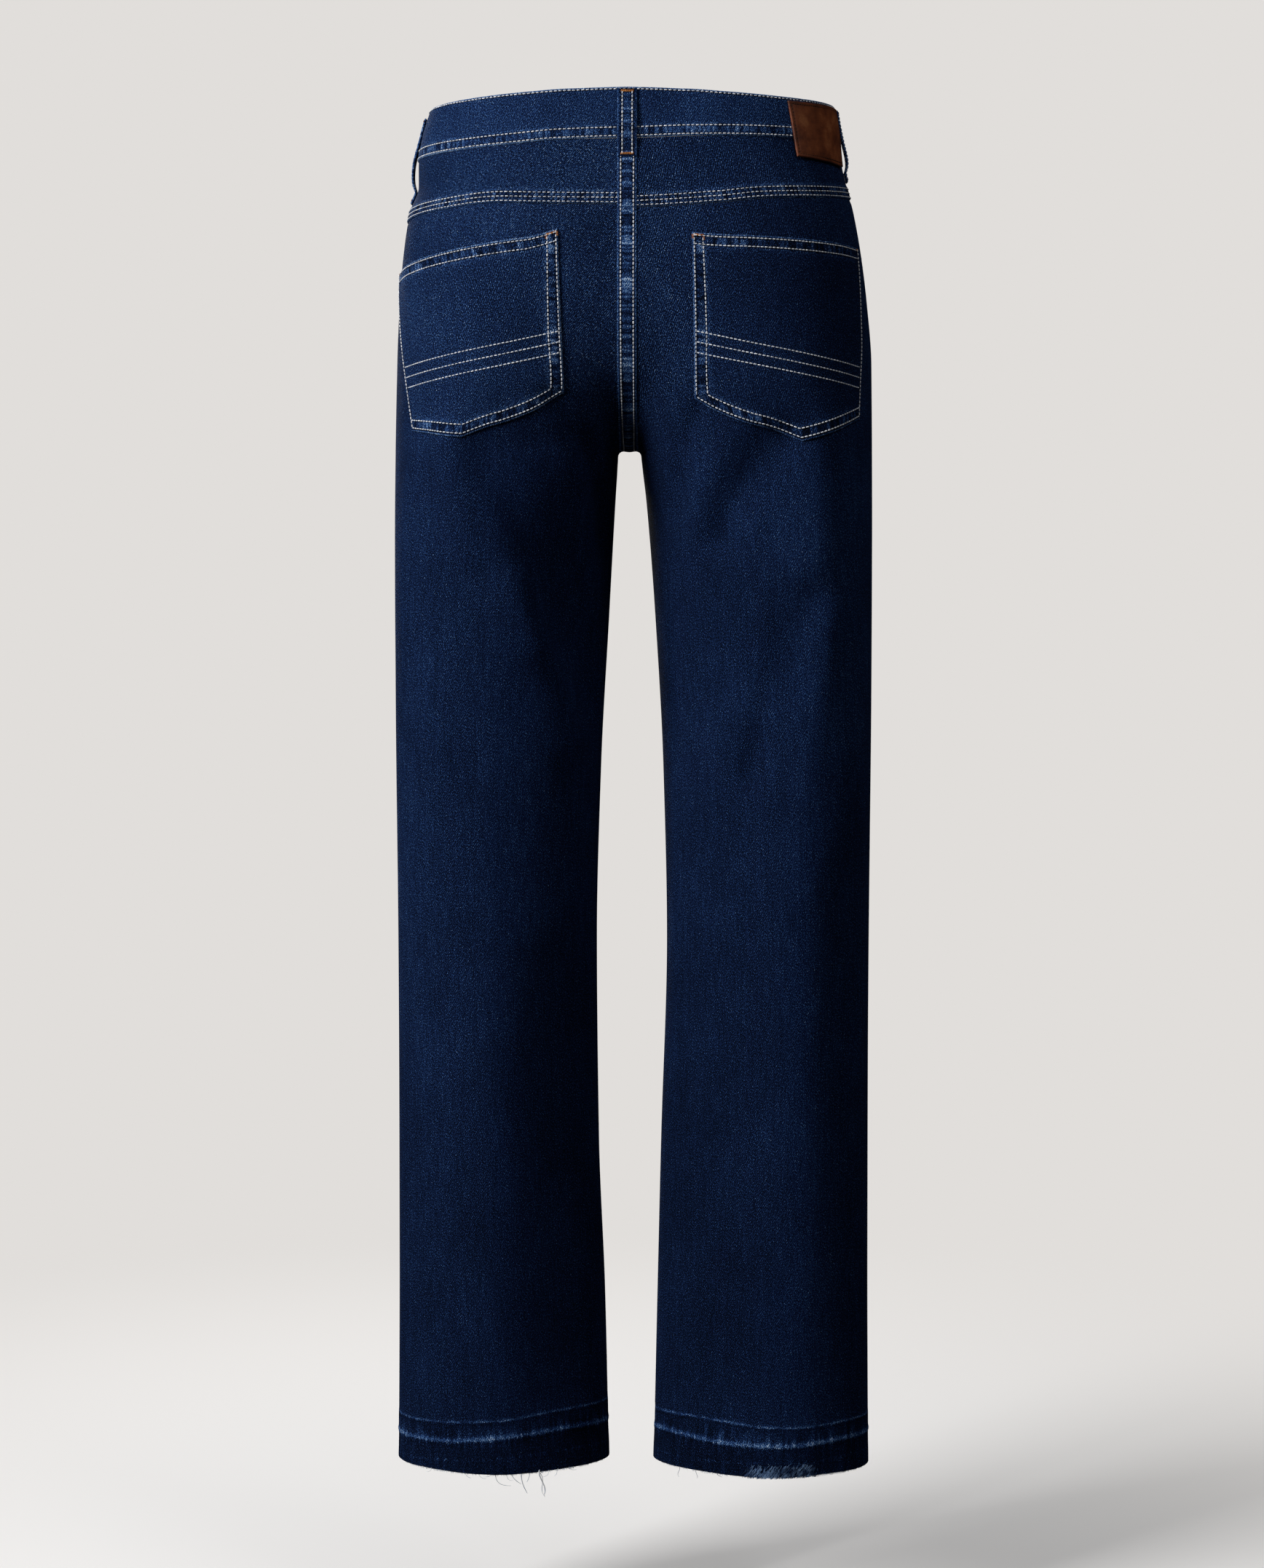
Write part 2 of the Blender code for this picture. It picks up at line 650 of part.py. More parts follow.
def make_button(metal):
    """A shank button's cap, flat on the lap of the waistband."""
    ends = [seam(name, 1, FRONT, LEFT) for name in ("band", "top")]
    foot, top = skin(np.ones(2), np.array(ends), FRONT, LEFT, BAND_OUTSIDE)
    foot[1] -= BAND_RAISED
    top[1] -= BAND_RAISED
    rise = (top - foot) / np.linalg.norm(top - foot)
    out = np.array([0, -rise[2], rise[1]])
    centre = (foot + top) / 2 + out * (ON_TOP + BUTTON_THICKNESS / 2)
    bpy.ops.mesh.primitive_cylinder_add(
        vertices=24, radius=BUTTON_RADIUS, depth=BUTTON_THICKNESS,
        location=centre, rotation=Vector(out).to_track_quat("Z", "Y").to_euler(),
    )
    button = bpy.context.object
    button.name = "waist_button"
    bevel = button.modifiers.new("rim", "BEVEL")
    bevel.width = BUTTON_BEVEL
    bevel.segments = 1
    button.data.materials.append(metal)


def make_fray(yarn):
    """The reach of the loose yarns below the left hem."""
    across = np.linspace(*FRAY_ACROSS, 7)
    top = hem(across, LEFT, BACK) - SEAM_GAP / 2
    level = mix(top[None, :], top[None, :] - FRAY_REACH, np.linspace(0, 1, 3)[:, None])
    cloth("hem_fray_left", across[None, :], level, BACK, LEFT, yarn)


def main():
    clear_scene()
    denim = make_material("denim", (0.018, 0.045, 0.13), 0.85)
    leather = make_material("leather", (0.20, 0.075, 0.04), 0.55)
    metal = make_material("button_metal", (0.55, 0.36, 0.20), 0.35, metallic=1.0)
    yarn = make_material("yarn", (0.62, 0.66, 0.72), 0.9)
    make_panels(denim)
    make_yokes(denim)
    make_facings(denim)
    make_waistband(denim)
    make_fly_guard(denim)
    make_pockets(denim)
    make_belt_loops(denim)
    make_patch(leather)
    make_button(metal)
    make_fray(yarn)


main()
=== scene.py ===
# %% [markdown]
# # Straight leg jeans
#
# These are dark blue jeans with raw hems, filled out as if worn, with nobody in them.
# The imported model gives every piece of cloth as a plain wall. This lesson puts a finer piece in
# the place of each: the same shape with its creases, the folded and rounded edges, real
# stitches, and the finishes of denim, leather, brass and yarn.

import bpy
import numpy as np
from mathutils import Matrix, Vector


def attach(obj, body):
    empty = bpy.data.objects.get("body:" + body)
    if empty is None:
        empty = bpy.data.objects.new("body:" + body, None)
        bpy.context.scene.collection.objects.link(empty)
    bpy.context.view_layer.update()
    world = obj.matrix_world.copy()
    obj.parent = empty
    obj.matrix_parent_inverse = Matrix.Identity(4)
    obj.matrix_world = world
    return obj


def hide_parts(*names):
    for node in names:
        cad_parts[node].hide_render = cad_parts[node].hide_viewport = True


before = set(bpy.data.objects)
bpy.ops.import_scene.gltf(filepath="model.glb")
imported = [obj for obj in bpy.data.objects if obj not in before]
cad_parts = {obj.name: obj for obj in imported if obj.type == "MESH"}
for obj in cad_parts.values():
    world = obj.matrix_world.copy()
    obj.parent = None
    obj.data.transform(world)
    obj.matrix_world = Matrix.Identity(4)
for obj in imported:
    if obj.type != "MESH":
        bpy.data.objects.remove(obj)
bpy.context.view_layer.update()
scene = bpy.context.scene
MM = 0.001
print("CAD nodes:", len(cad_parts))

# %% [markdown]
# ## The camera
#
# The jeans are seen from behind, from a little above their middle. A long lens from nearly three
# metres keeps both legs parallel, as the eye expects of a garment. The camera's place is its
# aim plus a distance along one direction, turned one degree and lifted five.

# %% Camera
pitch, yaw = np.radians([5.0, 1.0])
aim = Vector((-1.9, 0, -514.3)) * MM
back_off = Vector((-np.sin(yaw) * np.cos(pitch), np.cos(yaw) * np.cos(pitch), np.sin(pitch)))
camera = bpy.data.objects.new("camera", bpy.data.cameras.new("camera"))
camera.data.lens = 80
camera.data.sensor_width = 36
camera.location = aim + 2.8 * back_off
camera.rotation_euler = back_off.to_track_quat("Z", "Y").to_euler()
scene.collection.objects.link(camera)
scene.camera = camera
print("camera at", [round(v, 3) for v in camera.location])

# %% [markdown]
# ## The light
#
# Dark cloth shows its shape only by how the light falls off round it. One large softbox
# stands well to the left of the camera, so each leg is bright on that side and turns nearly black
# on the other. A second box lights the front for the views from there. It stands square to the
# front, so that it adds nothing at the back. A weak third one keeps the dark sides readable.

# %% Softboxes and the sky
MIDDLE = Vector((0, 0, -0.5))


def softbox(name, place, width, height, brightness):
    """An area light that faces the jeans. For a brightness of 1 a white card at the jeans
    looks just white: the watts are pi squared times the distance squared times that."""
    light = bpy.data.lights.new(name, "AREA")
    light.shape = "RECTANGLE"
    light.size = width
    light.size_y = height
    away = Vector(place) - MIDDLE
    light.energy = brightness * np.pi**2 * away.length_squared
    lamp = bpy.data.objects.new(name, light)
    lamp.location = place
    lamp.rotation_euler = away.to_track_quat("Z", "Y").to_euler()
    lamp.visible_camera = False
    scene.collection.objects.link(lamp)
    return lamp


key_light = softbox("key_softbox", (2.6, 1.95, 1.3), 1.3, 1.9, 1.0)
softbox("front_softbox", (0.7, -3.0, 0.9), 1.6, 1.9, 0.8)
softbox("fill_softbox", (-1.5, 1.3, 1.7), 1.4, 1.4, 0.155)
scene.view_settings.view_transform = "Standard"
print("key light:", round(key_light.data.energy), "W")

# %% [markdown]
# ## Colours and nodes
#
# Colours are written as the hex values of a screen and turned to linear light by one function.
# A second function adds a node, sets its options and joins its inputs, so that each material
# below reads as a list of what it is made of.

# %% Helpers for materials
def colour(code):
    """A hex colour as linear red, green, blue and 1: c / 12.92 near black, else
    ((c + 0.055) / 1.055) to the power 2.4."""
    part = np.array([int(code[i : i + 2], 16) for i in (1, 3, 5)]) / 255
    linear = np.where(part <= 0.04045, part / 12.92, ((part + 0.055) / 1.055) ** 2.4)
    return (*linear.tolist(), 1.0)


def add(tree, kind, values=None, out=0, stops=None, **settings):
    """Adds a node. settings are its options, values its inputs by name or number, each a
    constant or the output of another node, and stops a ramp's colours. Gives one output."""
    node = tree.nodes.new("ShaderNode" + kind)
    for name, value in settings.items():
        setattr(node, name, value)
    for place, value in (values or {}).items():
        if isinstance(value, bpy.types.NodeSocket):
            tree.links.new(value, node.inputs[place])
        else:
            node.inputs[place].default_value = value
    if stops:
        ramp = node.color_ramp.elements
        while len(ramp) < len(stops):
            ramp.new(1.0)
        for element, (position, shade) in zip(ramp, stops):
            element.position = position
            element.color = shade
    return node.outputs[out]


def total(tree, *parts):
    """The sum of several values."""
    answer = parts[0]
    for part in parts[1:]:
        answer = add(tree, "Math", {0: answer, 1: part}, operation="ADD")
    return answer


def noise_at(tree, place, scales):
    """Soft noise. scales are its features per metre along and across."""
    stretched = add(tree, "VectorMath", {0: place, 1: (*scales, 1)}, operation="MULTIPLY")
    return add(tree, "TexNoise", {"Vector": stretched, "Scale": 1.0, "Detail": 2.0})


def mark_of(tree, name):
    """The three numbers that a piece's points carry under a name, as three outputs."""
    mark = add(tree, "Attribute", out="Vector", attribute_name=name)
    return add(tree, "SeparateXYZ", {0: mark}).node.outputs


def new_material(name):
    """A material with only an output, and its node tree."""
    material = bpy.data.materials.new(name)
    material.use_nodes = True
    tree = material.node_tree
    for node in list(tree.nodes):
        tree.nodes.remove(node)
    return material, tree


def show(tree, shader):
    """Joins a shader to the material's output."""
    tree.links.new(shader, tree.nodes.new("ShaderNodeOutputMaterial").inputs["Surface"])


print("white is", colour("#ffffff"))

# %% [markdown]
# ## The floor
#
# A photographer's cove is a floor that curves up into a wall all round, so no line shows behind
# the jeans. It is one profile turned about the middle. Near the middle it is a real painted
# floor that takes the shadow. Further out it looks evenly pale, and it throws little light
# back, because a bright cove would fill the shadows on the cloth.

# %% Cove
PALE = colour("#e1dedb")


def mesh_of(name, points, faces):
    """A mesh with those points and four-sided faces, set as whole arrays."""
    mesh = bpy.data.meshes.new(name)
    mesh.vertices.add(len(points))
    mesh.vertices.foreach_set("co", np.ascontiguousarray(points, np.float32).ravel())
    mesh.loops.add(faces.size)
    mesh.loops.foreach_set("vertex_index", np.ascontiguousarray(faces, np.int32).ravel())
    mesh.polygons.add(len(faces))
    mesh.polygons.foreach_set("loop_start", np.arange(0, faces.size, 4, dtype=np.int32))
    mesh.update(calc_edges=True)
    mesh.shade_smooth()
    return mesh


def grid_faces(rows, columns):
    """Four-sided faces between neighbouring rows and columns of a grid of points."""
    index = np.arange(rows * columns).reshape(rows, columns)
    corners = index[:-1, :-1], index[:-1, 1:], index[1:, 1:], index[1:, :-1]
    return np.stack(corners, axis=-1).reshape(-1, 4)


FLOOR_LEVEL = -1.2
COVE_RISE = 1.8
bend = np.linspace(0, np.pi / 2, 13)
cove_radius = np.concatenate([[0.0, 0.6, 1.4, 2.4, 3.4], 4.4 + COVE_RISE * np.sin(bend), [6.2]])
cove_height = np.concatenate([np.full(5, FLOOR_LEVEL),
                              FLOOR_LEVEL + COVE_RISE - COVE_RISE * np.cos(bend), [5.0]])
turn = np.linspace(0, 2 * np.pi, 97)
cove_points = np.stack(np.broadcast_arrays(
    cove_radius[:, None] * np.cos(turn), cove_radius[:, None] * np.sin(turn), cove_height[:, None]
), axis=-1)
cove_faces = grid_faces(*cove_points.shape[:2])[:, ::-1]
cove = bpy.data.objects.new("cove", mesh_of("cove", cove_points.reshape(-1, 3), cove_faces))
scene.collection.objects.link(cove)

# Painted floor: matt, so it shows light and shadow and no reflection.
cove_paint, tree = new_material("matt studio paint")
seen = add(tree, "LightPath", out="Is Camera Ray")
place = add(tree, "TexCoord", out="Object")
level_place = add(tree, "VectorMath", {0: place, 1: (1, 1, 0)}, operation="MULTIPLY")
distance = add(tree, "VectorMath", {0: level_place}, out="Value", operation="LENGTH")
far = add(tree, "MapRange", {"Value": distance, "From Min": 0.35, "From Max": 1.5},
          interpolation_type="SMOOTHSTEP")
far_seen = add(tree, "Math", {0: far, 1: seen}, operation="MULTIPLY")
paint_colour = add(tree, "Mix", {0: seen, 6: colour("#4a4948"), 7: colour("#f0eeec")},
                   out=2, data_type="RGBA")
matt = add(tree, "BsdfDiffuse", {"Color": paint_colour})
even = add(tree, "Emission", {"Color": PALE, "Strength": 1.0})
show(tree, add(tree, "MixShader", {0: far_seen, 1: matt, 2: even}))
cove.data.materials.append(cove_paint)

world = bpy.data.worlds.new("studio air")
scene.world = world
world.use_nodes = True
air = world.node_tree.nodes["Background"].inputs
air["Color"].default_value = colour("#c8d0dc")
air["Strength"].default_value = 0.10
print("cove:", len(cove_faces), "faces")

# %% [markdown]
# ## Measurements
#
# A pattern cutter works from a table of measurements, and so does this script. Each table gives
# widths or depths in millimetres at some levels, and a smooth curve joins its rows.
# Each leg has a back and a front half. Across a half a share runs from 0 at the side seam,
# through 0.5 where the cloth stands out furthest, to 1 at the inner edge, which is the centre
# seam above the crotch and the inseam below it.

# %% Tables of widths and depths
LEFT, RIGHT = 1, -1
BACK, FRONT = "back", "front"
SIDES = (LEFT, RIGHT)
SIDE_NAME = {LEFT: "left", RIGHT: "right"}


def table(columns, *rows):
    """One array a column, in metres from millimetres and in shares from thousandths, rising."""
    return dict(zip(columns.split(), np.array(rows, float)[::-1].T * MM))


# Half widths from the middle plane to each side.
OUTER = table(
    "level left right",
    (20, 156.5, 161.0),
    (0, 162.5, 164.5),
    (-25, 167.0, 168.0),
    (-40, 167.0, 171.5),
    (-60, 174.0, 177.0),
    (-95, 179.5, 183.5),
    (-130, 182.5, 188.0),
    (-180, 184.5, 192.0),
    (-248, 185.5, 192.5),
    (-450, 186.5, 193.0),
    (-700, 186.5, 192.5),
    (-900, 187.0, 193.0),
    (-1070, 188.5, 194.5),
)

# From the middle plane to each leg's inseam.
INSEAM = table(
    "level left right",
    (-254, 9.2, 9.2),
    (-290, 11.5, 13.5),
    (-380, 16.5, 20.5),
    (-500, 23.0, 27.0),
    (-640, 26.5, 30.0),
    (-800, 25.0, 25.5),
    (-930, 20.0, 22.5),
    (-1070, 17.0, 19.5),
)

# Depths: the side seam, the fullest line of each half, and the centre seams.
DEPTH = table(
    "level side_y back_y back_full_x back_seam_y front_y front_full_x front_seam_y roundness",
    (20, -4, 96, 40, 96, -95, 48, -95, 2080),
    (-20, -4, 101, 50, 100, -100, 53, -100, 2080),
    (-60, -5, 109, 66, 107, -105, 61, -105, 2080),
    (-120, -6, 118, 83, 114, -109, 74, -108, 2080),
    (-180, -6, 121, 94, 115, -109, 86, -106, 2200),
    (-248, -5, 114, 100, 108, -104, 96, -98, 2600),
    (-320, -3, 103, 106, 103, -96, 106, -96, 2950),
    (-450, -2, 89, 114, 89, -82, 114, -82, 2900),
    (-650, -2, 74, 118, 74, -69, 118, -69, 2150),
    (-850, 0, 65, 115, 65, -61, 115, -61, 2080),
    (-1070, 2, 57, 111, 57, -55, 111, -55, 2080),
)

CROTCH_LEVEL = -248 * MM
CROTCH_Y = -6 * MM
FORK_HEIGHT = {BACK: 120 * MM, FRONT: 110 * MM}
BRIDGE_HALF_WIDTH = 9.2 * MM
BRIDGE_HEIGHT = 6 * MM
CLOSING_HEIGHT = 25 * MM
VALLEY_HEIGHT = 90 * MM
LEG_TOP_HEIGHT = 130 * MM
FORK_SOFTNESS = 10 * MM
DIP_BELOW_CROTCH = 30 * MM


def curve(at, columns, name, key="level"):
    """A smooth curve through the rows of one column: a cubic between two rows, whose slope
    at a row is the harmonic mean of the slopes beside it, so it never bulges."""
    x, y = columns[key], columns[name]
    step = np.diff(x)
    slope = np.diff(y) / step
    before, after = slope[:-1], slope[1:]
    same_way = before * after > 0
    total = np.where(same_way, before + after, 1)
    tangent = np.concatenate(
        [slope[:1], np.where(same_way, 2 * before * after / total, 0), slope[-1:]]
    )
    at = np.clip(at, x[0], x[-1])
    i = np.clip(np.searchsorted(x, at) - 1, 0, len(step) - 1)
    t = (at - x[i]) / step[i]
    return (
        (1 + 2 * t) * (1 - t) ** 2 * y[i]
        + t * (1 - t) ** 2 * step[i] * tangent[i]
        + t * t * (3 - 2 * t) * y[i + 1]
        + t * t * (t - 1) * step[i] * tangent[i + 1]
    )


def ease(share):
    """0 to 1 with level ends: 3 s squared less 2 s cubed."""
    share = np.clip(share, 0, 1)
    return share * share * (3 - 2 * share)


def mix(a, b, share):
    """From a to b by a share."""
    return a + (b - a) * share


hip_width = sum(float(curve(-180 * MM, OUTER, name)) for name in SIDE_NAME.values())
print("hip width in mm:", round(1000 * hip_width))

# %% [markdown]
# ## The form of the cloth
#
# One function gives the point for a share across and a level. From the side seam to the
# fullest line it is a quarter of an ellipse. From there a cubic curve runs to the centre seam,
# and below the crotch it closes each leg into a ring. Other functions find which way is
# outwards, so that any piece can lie a fraction of a millimetre above another.

# %% Points on the jeans
def section(across, level, half, side):
    """The point of a half at a level: x and y are a quarter ellipse, cos and sin to the power
    2 / roundness, out to the fullest line, then a cubic Bezier curve to the inner edge."""
    across, level = np.broadcast_arrays(np.asarray(across, float), np.asarray(level, float))
    name = SIDE_NAME[side]
    above = level - CROTCH_LEVEL
    outer_x = curve(level, OUTER, name)
    side_y = curve(level, DEPTH, "side_y")
    full_y = curve(level, DEPTH, half + "_y")
    full_x = curve(level, DEPTH, half + "_full_x")
    seam_y = curve(level, DEPTH, half + "_seam_y")

    def fork_y(risen):
        return mix(CROTCH_Y, seam_y, np.sqrt(1 - (1 - risen) ** 2))

    risen = np.clip(above / FORK_HEIGHT[half], 0, 1)
    end_y = fork_y(risen)
    arch = np.clip(1 + above / BRIDGE_HEIGHT, 0, 1)
    arch_x = BRIDGE_HALF_WIDTH * np.cbrt(1 - arch**3)
    end_x = np.where(above > 0, 0, np.where(arch > 0, arch_x, curve(level, INSEAM, name)))

    turn = np.clip(across / 0.5, 0, 1) * np.pi / 2
    roundness = curve(level, DEPTH, "roundness")
    out_x = mix(full_x, outer_x, np.cos(turn) ** (2 / roundness))
    out_y = mix(side_y, full_y, np.sin(turn) ** (2 / roundness))

    flat = ease(risen)
    closed = ease(-above / CLOSING_HEIGHT)
    # Between the seats the valley is narrowest at the crotch, so the cloth beside it hangs
    # straight down from the seat into the leg.
    narrow = 1 - ease(np.where(above > 0, above / VALLEY_HEIGHT, -above / LEG_TOP_HEIGHT))
    inner_x = np.where(above > 0, mix(BRIDGE_HALF_WIDTH, 0, flat), curve(level, INSEAM, name))
    first_x = mix(full_x, inner_x, mix(mix(0.46, 0.40, flat), 0.82, narrow))
    second_x = mix(mix(1.5 * BRIDGE_HALF_WIDTH, 0.45 * full_x, flat), inner_x, closed)
    # The fork's arch ends softly, so that the crotch makes no crease in the cloth beside it.
    soft_above = (above + np.hypot(above, 2 * FORK_SOFTNESS)) / 2
    arch_y = fork_y(np.clip(soft_above / FORK_HEIGHT[half], 0, 1))
    ring_y = mix(CROTCH_Y, full_y, 0.44)
    second_y = (arch_y + ring_y + np.sign(full_y) * np.hypot(arch_y - ring_y, 8 * MM)) / 2
    inner_y = mix(arch_y, CROTCH_Y, ease(-above / (2 * CLOSING_HEIGHT)))
    t = np.clip((across - 0.5) / 0.5, 0, 1)
    b = (1 - t) ** 3, 3 * t * (1 - t) ** 2, 3 * t * t * (1 - t), t**3
    in_x = b[0] * full_x + b[1] * first_x + b[2] * second_x + b[3] * inner_x
    in_y = (b[0] + b[1]) * full_y + b[2] * second_y + b[3] * inner_y
    # Only the last few millimetres turn in to the seam itself.
    in_x = in_x + t**12 * (end_x - inner_x)
    in_y = in_y + t**12 * (end_y - inner_y)

    outside = across < 0.5
    x = side * np.where(outside, out_x, in_x)
    return np.stack([x, np.where(outside, out_y, in_y), level], axis=-1)


def dipped(across, level, half):
    """Rows of cloth bend down near the crotch, so that they meet the fork squarely."""
    above = level - CROTCH_LEVEL
    fork = FORK_HEIGHT[half]
    turn = np.pi / 2 * (1 - np.clip(above / fork, 0, 1))
    along_fork = fork * (1 - np.sin(turn))
    below = -(above**2) / DIP_BELOW_CROTCH
    inner = np.where(above > 0, along_fork, np.where(above > -DIP_BELOW_CROTCH, below, above))
    inner = np.where(above >= fork, above, inner)
    return CROTCH_LEVEL + mix(above, inner, ease((across - 0.5) / 0.5))


def outward(point_of, across, level, half, side):
    """Unit normals: the cross product of the slopes across and down, turned square to the
    seams at the edges of a half."""
    step = 2e-4
    right = point_of(np.clip(across + step, 0, 1), level)
    right = right - point_of(np.clip(across - step, 0, 1), level)
    down = point_of(across, level - step) - point_of(across, level + step)
    normal = np.cross(right, down) * (side if half == FRONT else -side)
    at_inner = across >= 1
    in_fork = point_of(across, level)[..., 2] >= CROTCH_LEVEL - 1e-9
    normal[(across <= 0) | (at_inner & ~in_fork), 1] = 0
    normal[at_inner & in_fork, 0] = 0
    normal[at_inner & (np.abs(level - CROTCH_LEVEL) < 1e-9)] = (0, 0, -1)
    return normal / np.linalg.norm(normal, axis=-1, keepdims=True)


print("side of the left knee:", section(0.0, -0.6, BACK, LEFT).round(3))

# %% [markdown]
# ## Creases
#
# Heavy cotton falls in a few broad folds: drags that run from the crotch towards the hips, soft
# bars behind the knees, and long ripples down the legs. Each is a straight line on the flat
# cloth with a width and a height, and pushes the surface out or in by a bell curve round that
# line. They are listed one by one, placed unevenly, with similar ones on the hidden front.

# %% Folds
CHART_WIDTH = 250 * MM
FOLD_COLUMNS = "from_across from_level to_across to_level width height"
FOLDS = {
    (BACK, LEFT): table(
        FOLD_COLUMNS,
        (415, -244, 760, -474, 21, 5.6),
        (570, -250, 860, -440, 21, -6.0),
        (390, -232, 660, -400, 11, 2.6),
        (455, -236, 730, -400, 12, -2.6),
        (640, -212, 900, -318, 12, -4.8),
        (385, -248, 480, -330, 12, 2.4),
        (480, -248, 570, -330, 12, -2.4),
        (700, -470, 800, -600, 30, 3.2),
        (180, -420, 330, -560, 30, -1.4),
        (240, -262, 190, -420, 12, 0.9),
        (330, -290, 330, -470, 12, -0.8),
        (560, -640, 540, -1000, 22, 2.6),
        (770, -660, 740, -1000, 30, -3.2),
        (320, -700, 300, -960, 24, -1.2),
        (880, -300, 930, -360, 9, -1.2),
        (160, -640, 380, -655, 11, -0.8),
        (300, -960, 420, -1050, 14, 0.8),
    ),
    (BACK, RIGHT): table(
        FOLD_COLUMNS,
        (640, -218, 720, -292, 8, -2.4),
        (450, -236, 618, -318, 12, -6.2),
        (540, -232, 680, -312, 9, 1.8),
        (345, -236, 510, -450, 22, 4.4),
        (430, -362, 585, -500, 14, -5.0),
        (365, -385, 450, -520, 16, 2.8),
        (440, -560, 430, -1040, 24, 3.0),
        (250, -600, 240, -1000, 26, -1.6),
        (760, -560, 740, -620, 16, -1.0),
        (620, -330, 500, -372, 8, 0.8),
        (700, -800, 640, -980, 22, -1.0),
    ),
    (FRONT, LEFT): table(
        FOLD_COLUMNS,
        (900, -205, 420, -160, 15, -3.0),
        (930, -270, 500, -300, 18, -3.0),
        (300, -560, 780, -640, 26, -2.5),
        (880, -190, 500, -140, 7, 1.1),
        (860, -240, 480, -215, 8, 1.0),
        (640, -330, 480, -520, 30, 1.6),
        (420, -720, 560, -920, 26, 1.2),
    ),
    (FRONT, RIGHT): table(
        FOLD_COLUMNS,
        (880, -210, 380, -180, 15, -3.0),
        (940, -275, 560, -320, 18, -2.5),
        (260, -600, 800, -650, 28, -2.5),
        (900, -185, 520, -145, 7, 1.0),
        (850, -245, 500, -235, 8, 1.1),
        (600, -340, 460, -540, 28, 1.5),
        (440, -740, 520, -960, 24, 1.1),
    ),
}


def bells(lines, across, level, amount):
    """A sum over lines on the flat cloth: amount times e to the power of minus (distance
    from the line / width) squared."""
    point = np.stack([across * CHART_WIDTH, level], axis=-1)
    answer = np.zeros(across.shape)
    for i in range(len(lines[amount])):
        start = np.array([lines["from_across"][i] * CHART_WIDTH, lines["from_level"][i]])
        line = np.array([lines["to_across"][i] * CHART_WIDTH, lines["to_level"][i]]) - start
        share = np.clip((point - start) @ line / (line @ line), 0, 1)
        away = np.linalg.norm(point - start - share[..., None] * line, axis=-1)
        answer = answer + lines[amount][i] * np.exp(-((away / lines["width"][i]) ** 2))
    return answer


def fold_height(across, level, half, side):
    """How far the folds push the cloth out, fading out at the seams."""
    height = bells(FOLDS[half, side], across, level, "height")
    return height * ease(across / 0.15) * ease((1 - across) / 0.12)


def skin(across, level, half, side, lift=0.0, dip=False):
    """Points at a distance outside the cloth's outer face. dip bends the rows at the crotch."""
    across, level = np.broadcast_arrays(np.asarray(across, float), np.asarray(level, float))

    def point_of(u, v):
        return section(u, dipped(u, v, half) if dip else v, half, side)

    point = point_of(across, level)
    normal = outward(point_of, across, level, half, side)
    out = np.asarray(fold_height(across, point[..., 2], half, side) + lift)
    return point + normal * out[..., None]


def across_at(x, level, half, side):
    """The share across at which a half is x from the middle plane: the span from 0 to 1 is
    halved 30 times, always keeping the part that holds x."""
    x, level = np.broadcast_arrays(np.asarray(x, float), np.asarray(level, float))
    low, high = np.zeros(x.shape), np.ones(x.shape)
    for _ in range(30):
        middle = (low + high) / 2
        outside = np.abs(section(middle, level, half, side)[..., 0]) > x
        low, high = np.where(outside, middle, low), np.where(outside, high, middle)
    return (low + high) / 2


print("folds:", [len(lines["height"]) for lines in FOLDS.values()])

# %% [markdown]
# ## Seams that run round the body
#
# The waistband's two edges, the slanted yoke seam, the scooped front pockets and the raw hems
# are levels that change with the share across. The neighbours of a seam both read its level
# here, so they always meet.

# %% Seam levels
SEAMS = {
    BACK: table(
        "across top_left top_right band_left band_right yoke_left yoke_right",
        (1000, 28.0, 28.0, -10.7, -10.7, -61.3, -64.0),
        (500, 26.8, 26.6, -12.2, -9.4, -60.8, -60.4),
        (400, 24.8, 24.6, -15.0, -9.0, -60.0, -56.8),
        (250, 22.0, 22.5, -18.0, -8.8, -63.4, -54.0),
        (0, 18.8, 21.5, -20.8, -12.0, -69.0, -50.3),
    ),
    FRONT: table(
        "across top_left top_right band_left band_right",
        (1000, 5.0, 5.0, -33.5, -33.5),
        (750, 6.0, 6.0, -32.5, -32.5),
        (500, 8.5, 9.0, -30.0, -29.0),
        (250, 14.0, 15.5, -25.0, -22.0),
        (0, 18.8, 21.5, -20.8, -12.0),
    ),
}
HEM_LEVEL = {LEFT: -1065.5 * MM, RIGHT: -1066.3 * MM}
HEM_OUTER_RISE = {LEFT: 3 * MM, RIGHT: 0}
SCOOP_ACROSS = 0.30
SCOOP_SIDE_LEVEL = {LEFT: -98 * MM, RIGHT: -94 * MM}
SCOOP_POWER = 2.4


def seam(name, across, half, side):
    """The level of a seam at a share across a half."""
    return curve(across, SEAMS[half], f"{name}_{SIDE_NAME[side]}", key="across")


def hem(across, side, half):
    """The level of a raw hem, a little higher at the outer side of the left leg."""
    level = HEM_LEVEL[side]
    x = np.abs(section(across, level, half, side)[..., 0])
    middle = (curve(level, OUTER, SIDE_NAME[side]) + curve(level, INSEAM, SIDE_NAME[side])) / 2
    return level + HEM_OUTER_RISE[side] * np.maximum(x - middle, 0) / middle


def scoop(across, side):
    """The level of a front pocket's opening: a power curve from the side seam up to the band."""
    top = seam("band", across, FRONT, side)
    share = np.clip(across / SCOOP_ACROSS, 0, 1)
    return mix(SCOOP_SIDE_LEVEL[side], top, share**SCOOP_POWER)


print("left hem at", round(1000 * float(hem(0.5, LEFT, BACK)), 1), "mm")

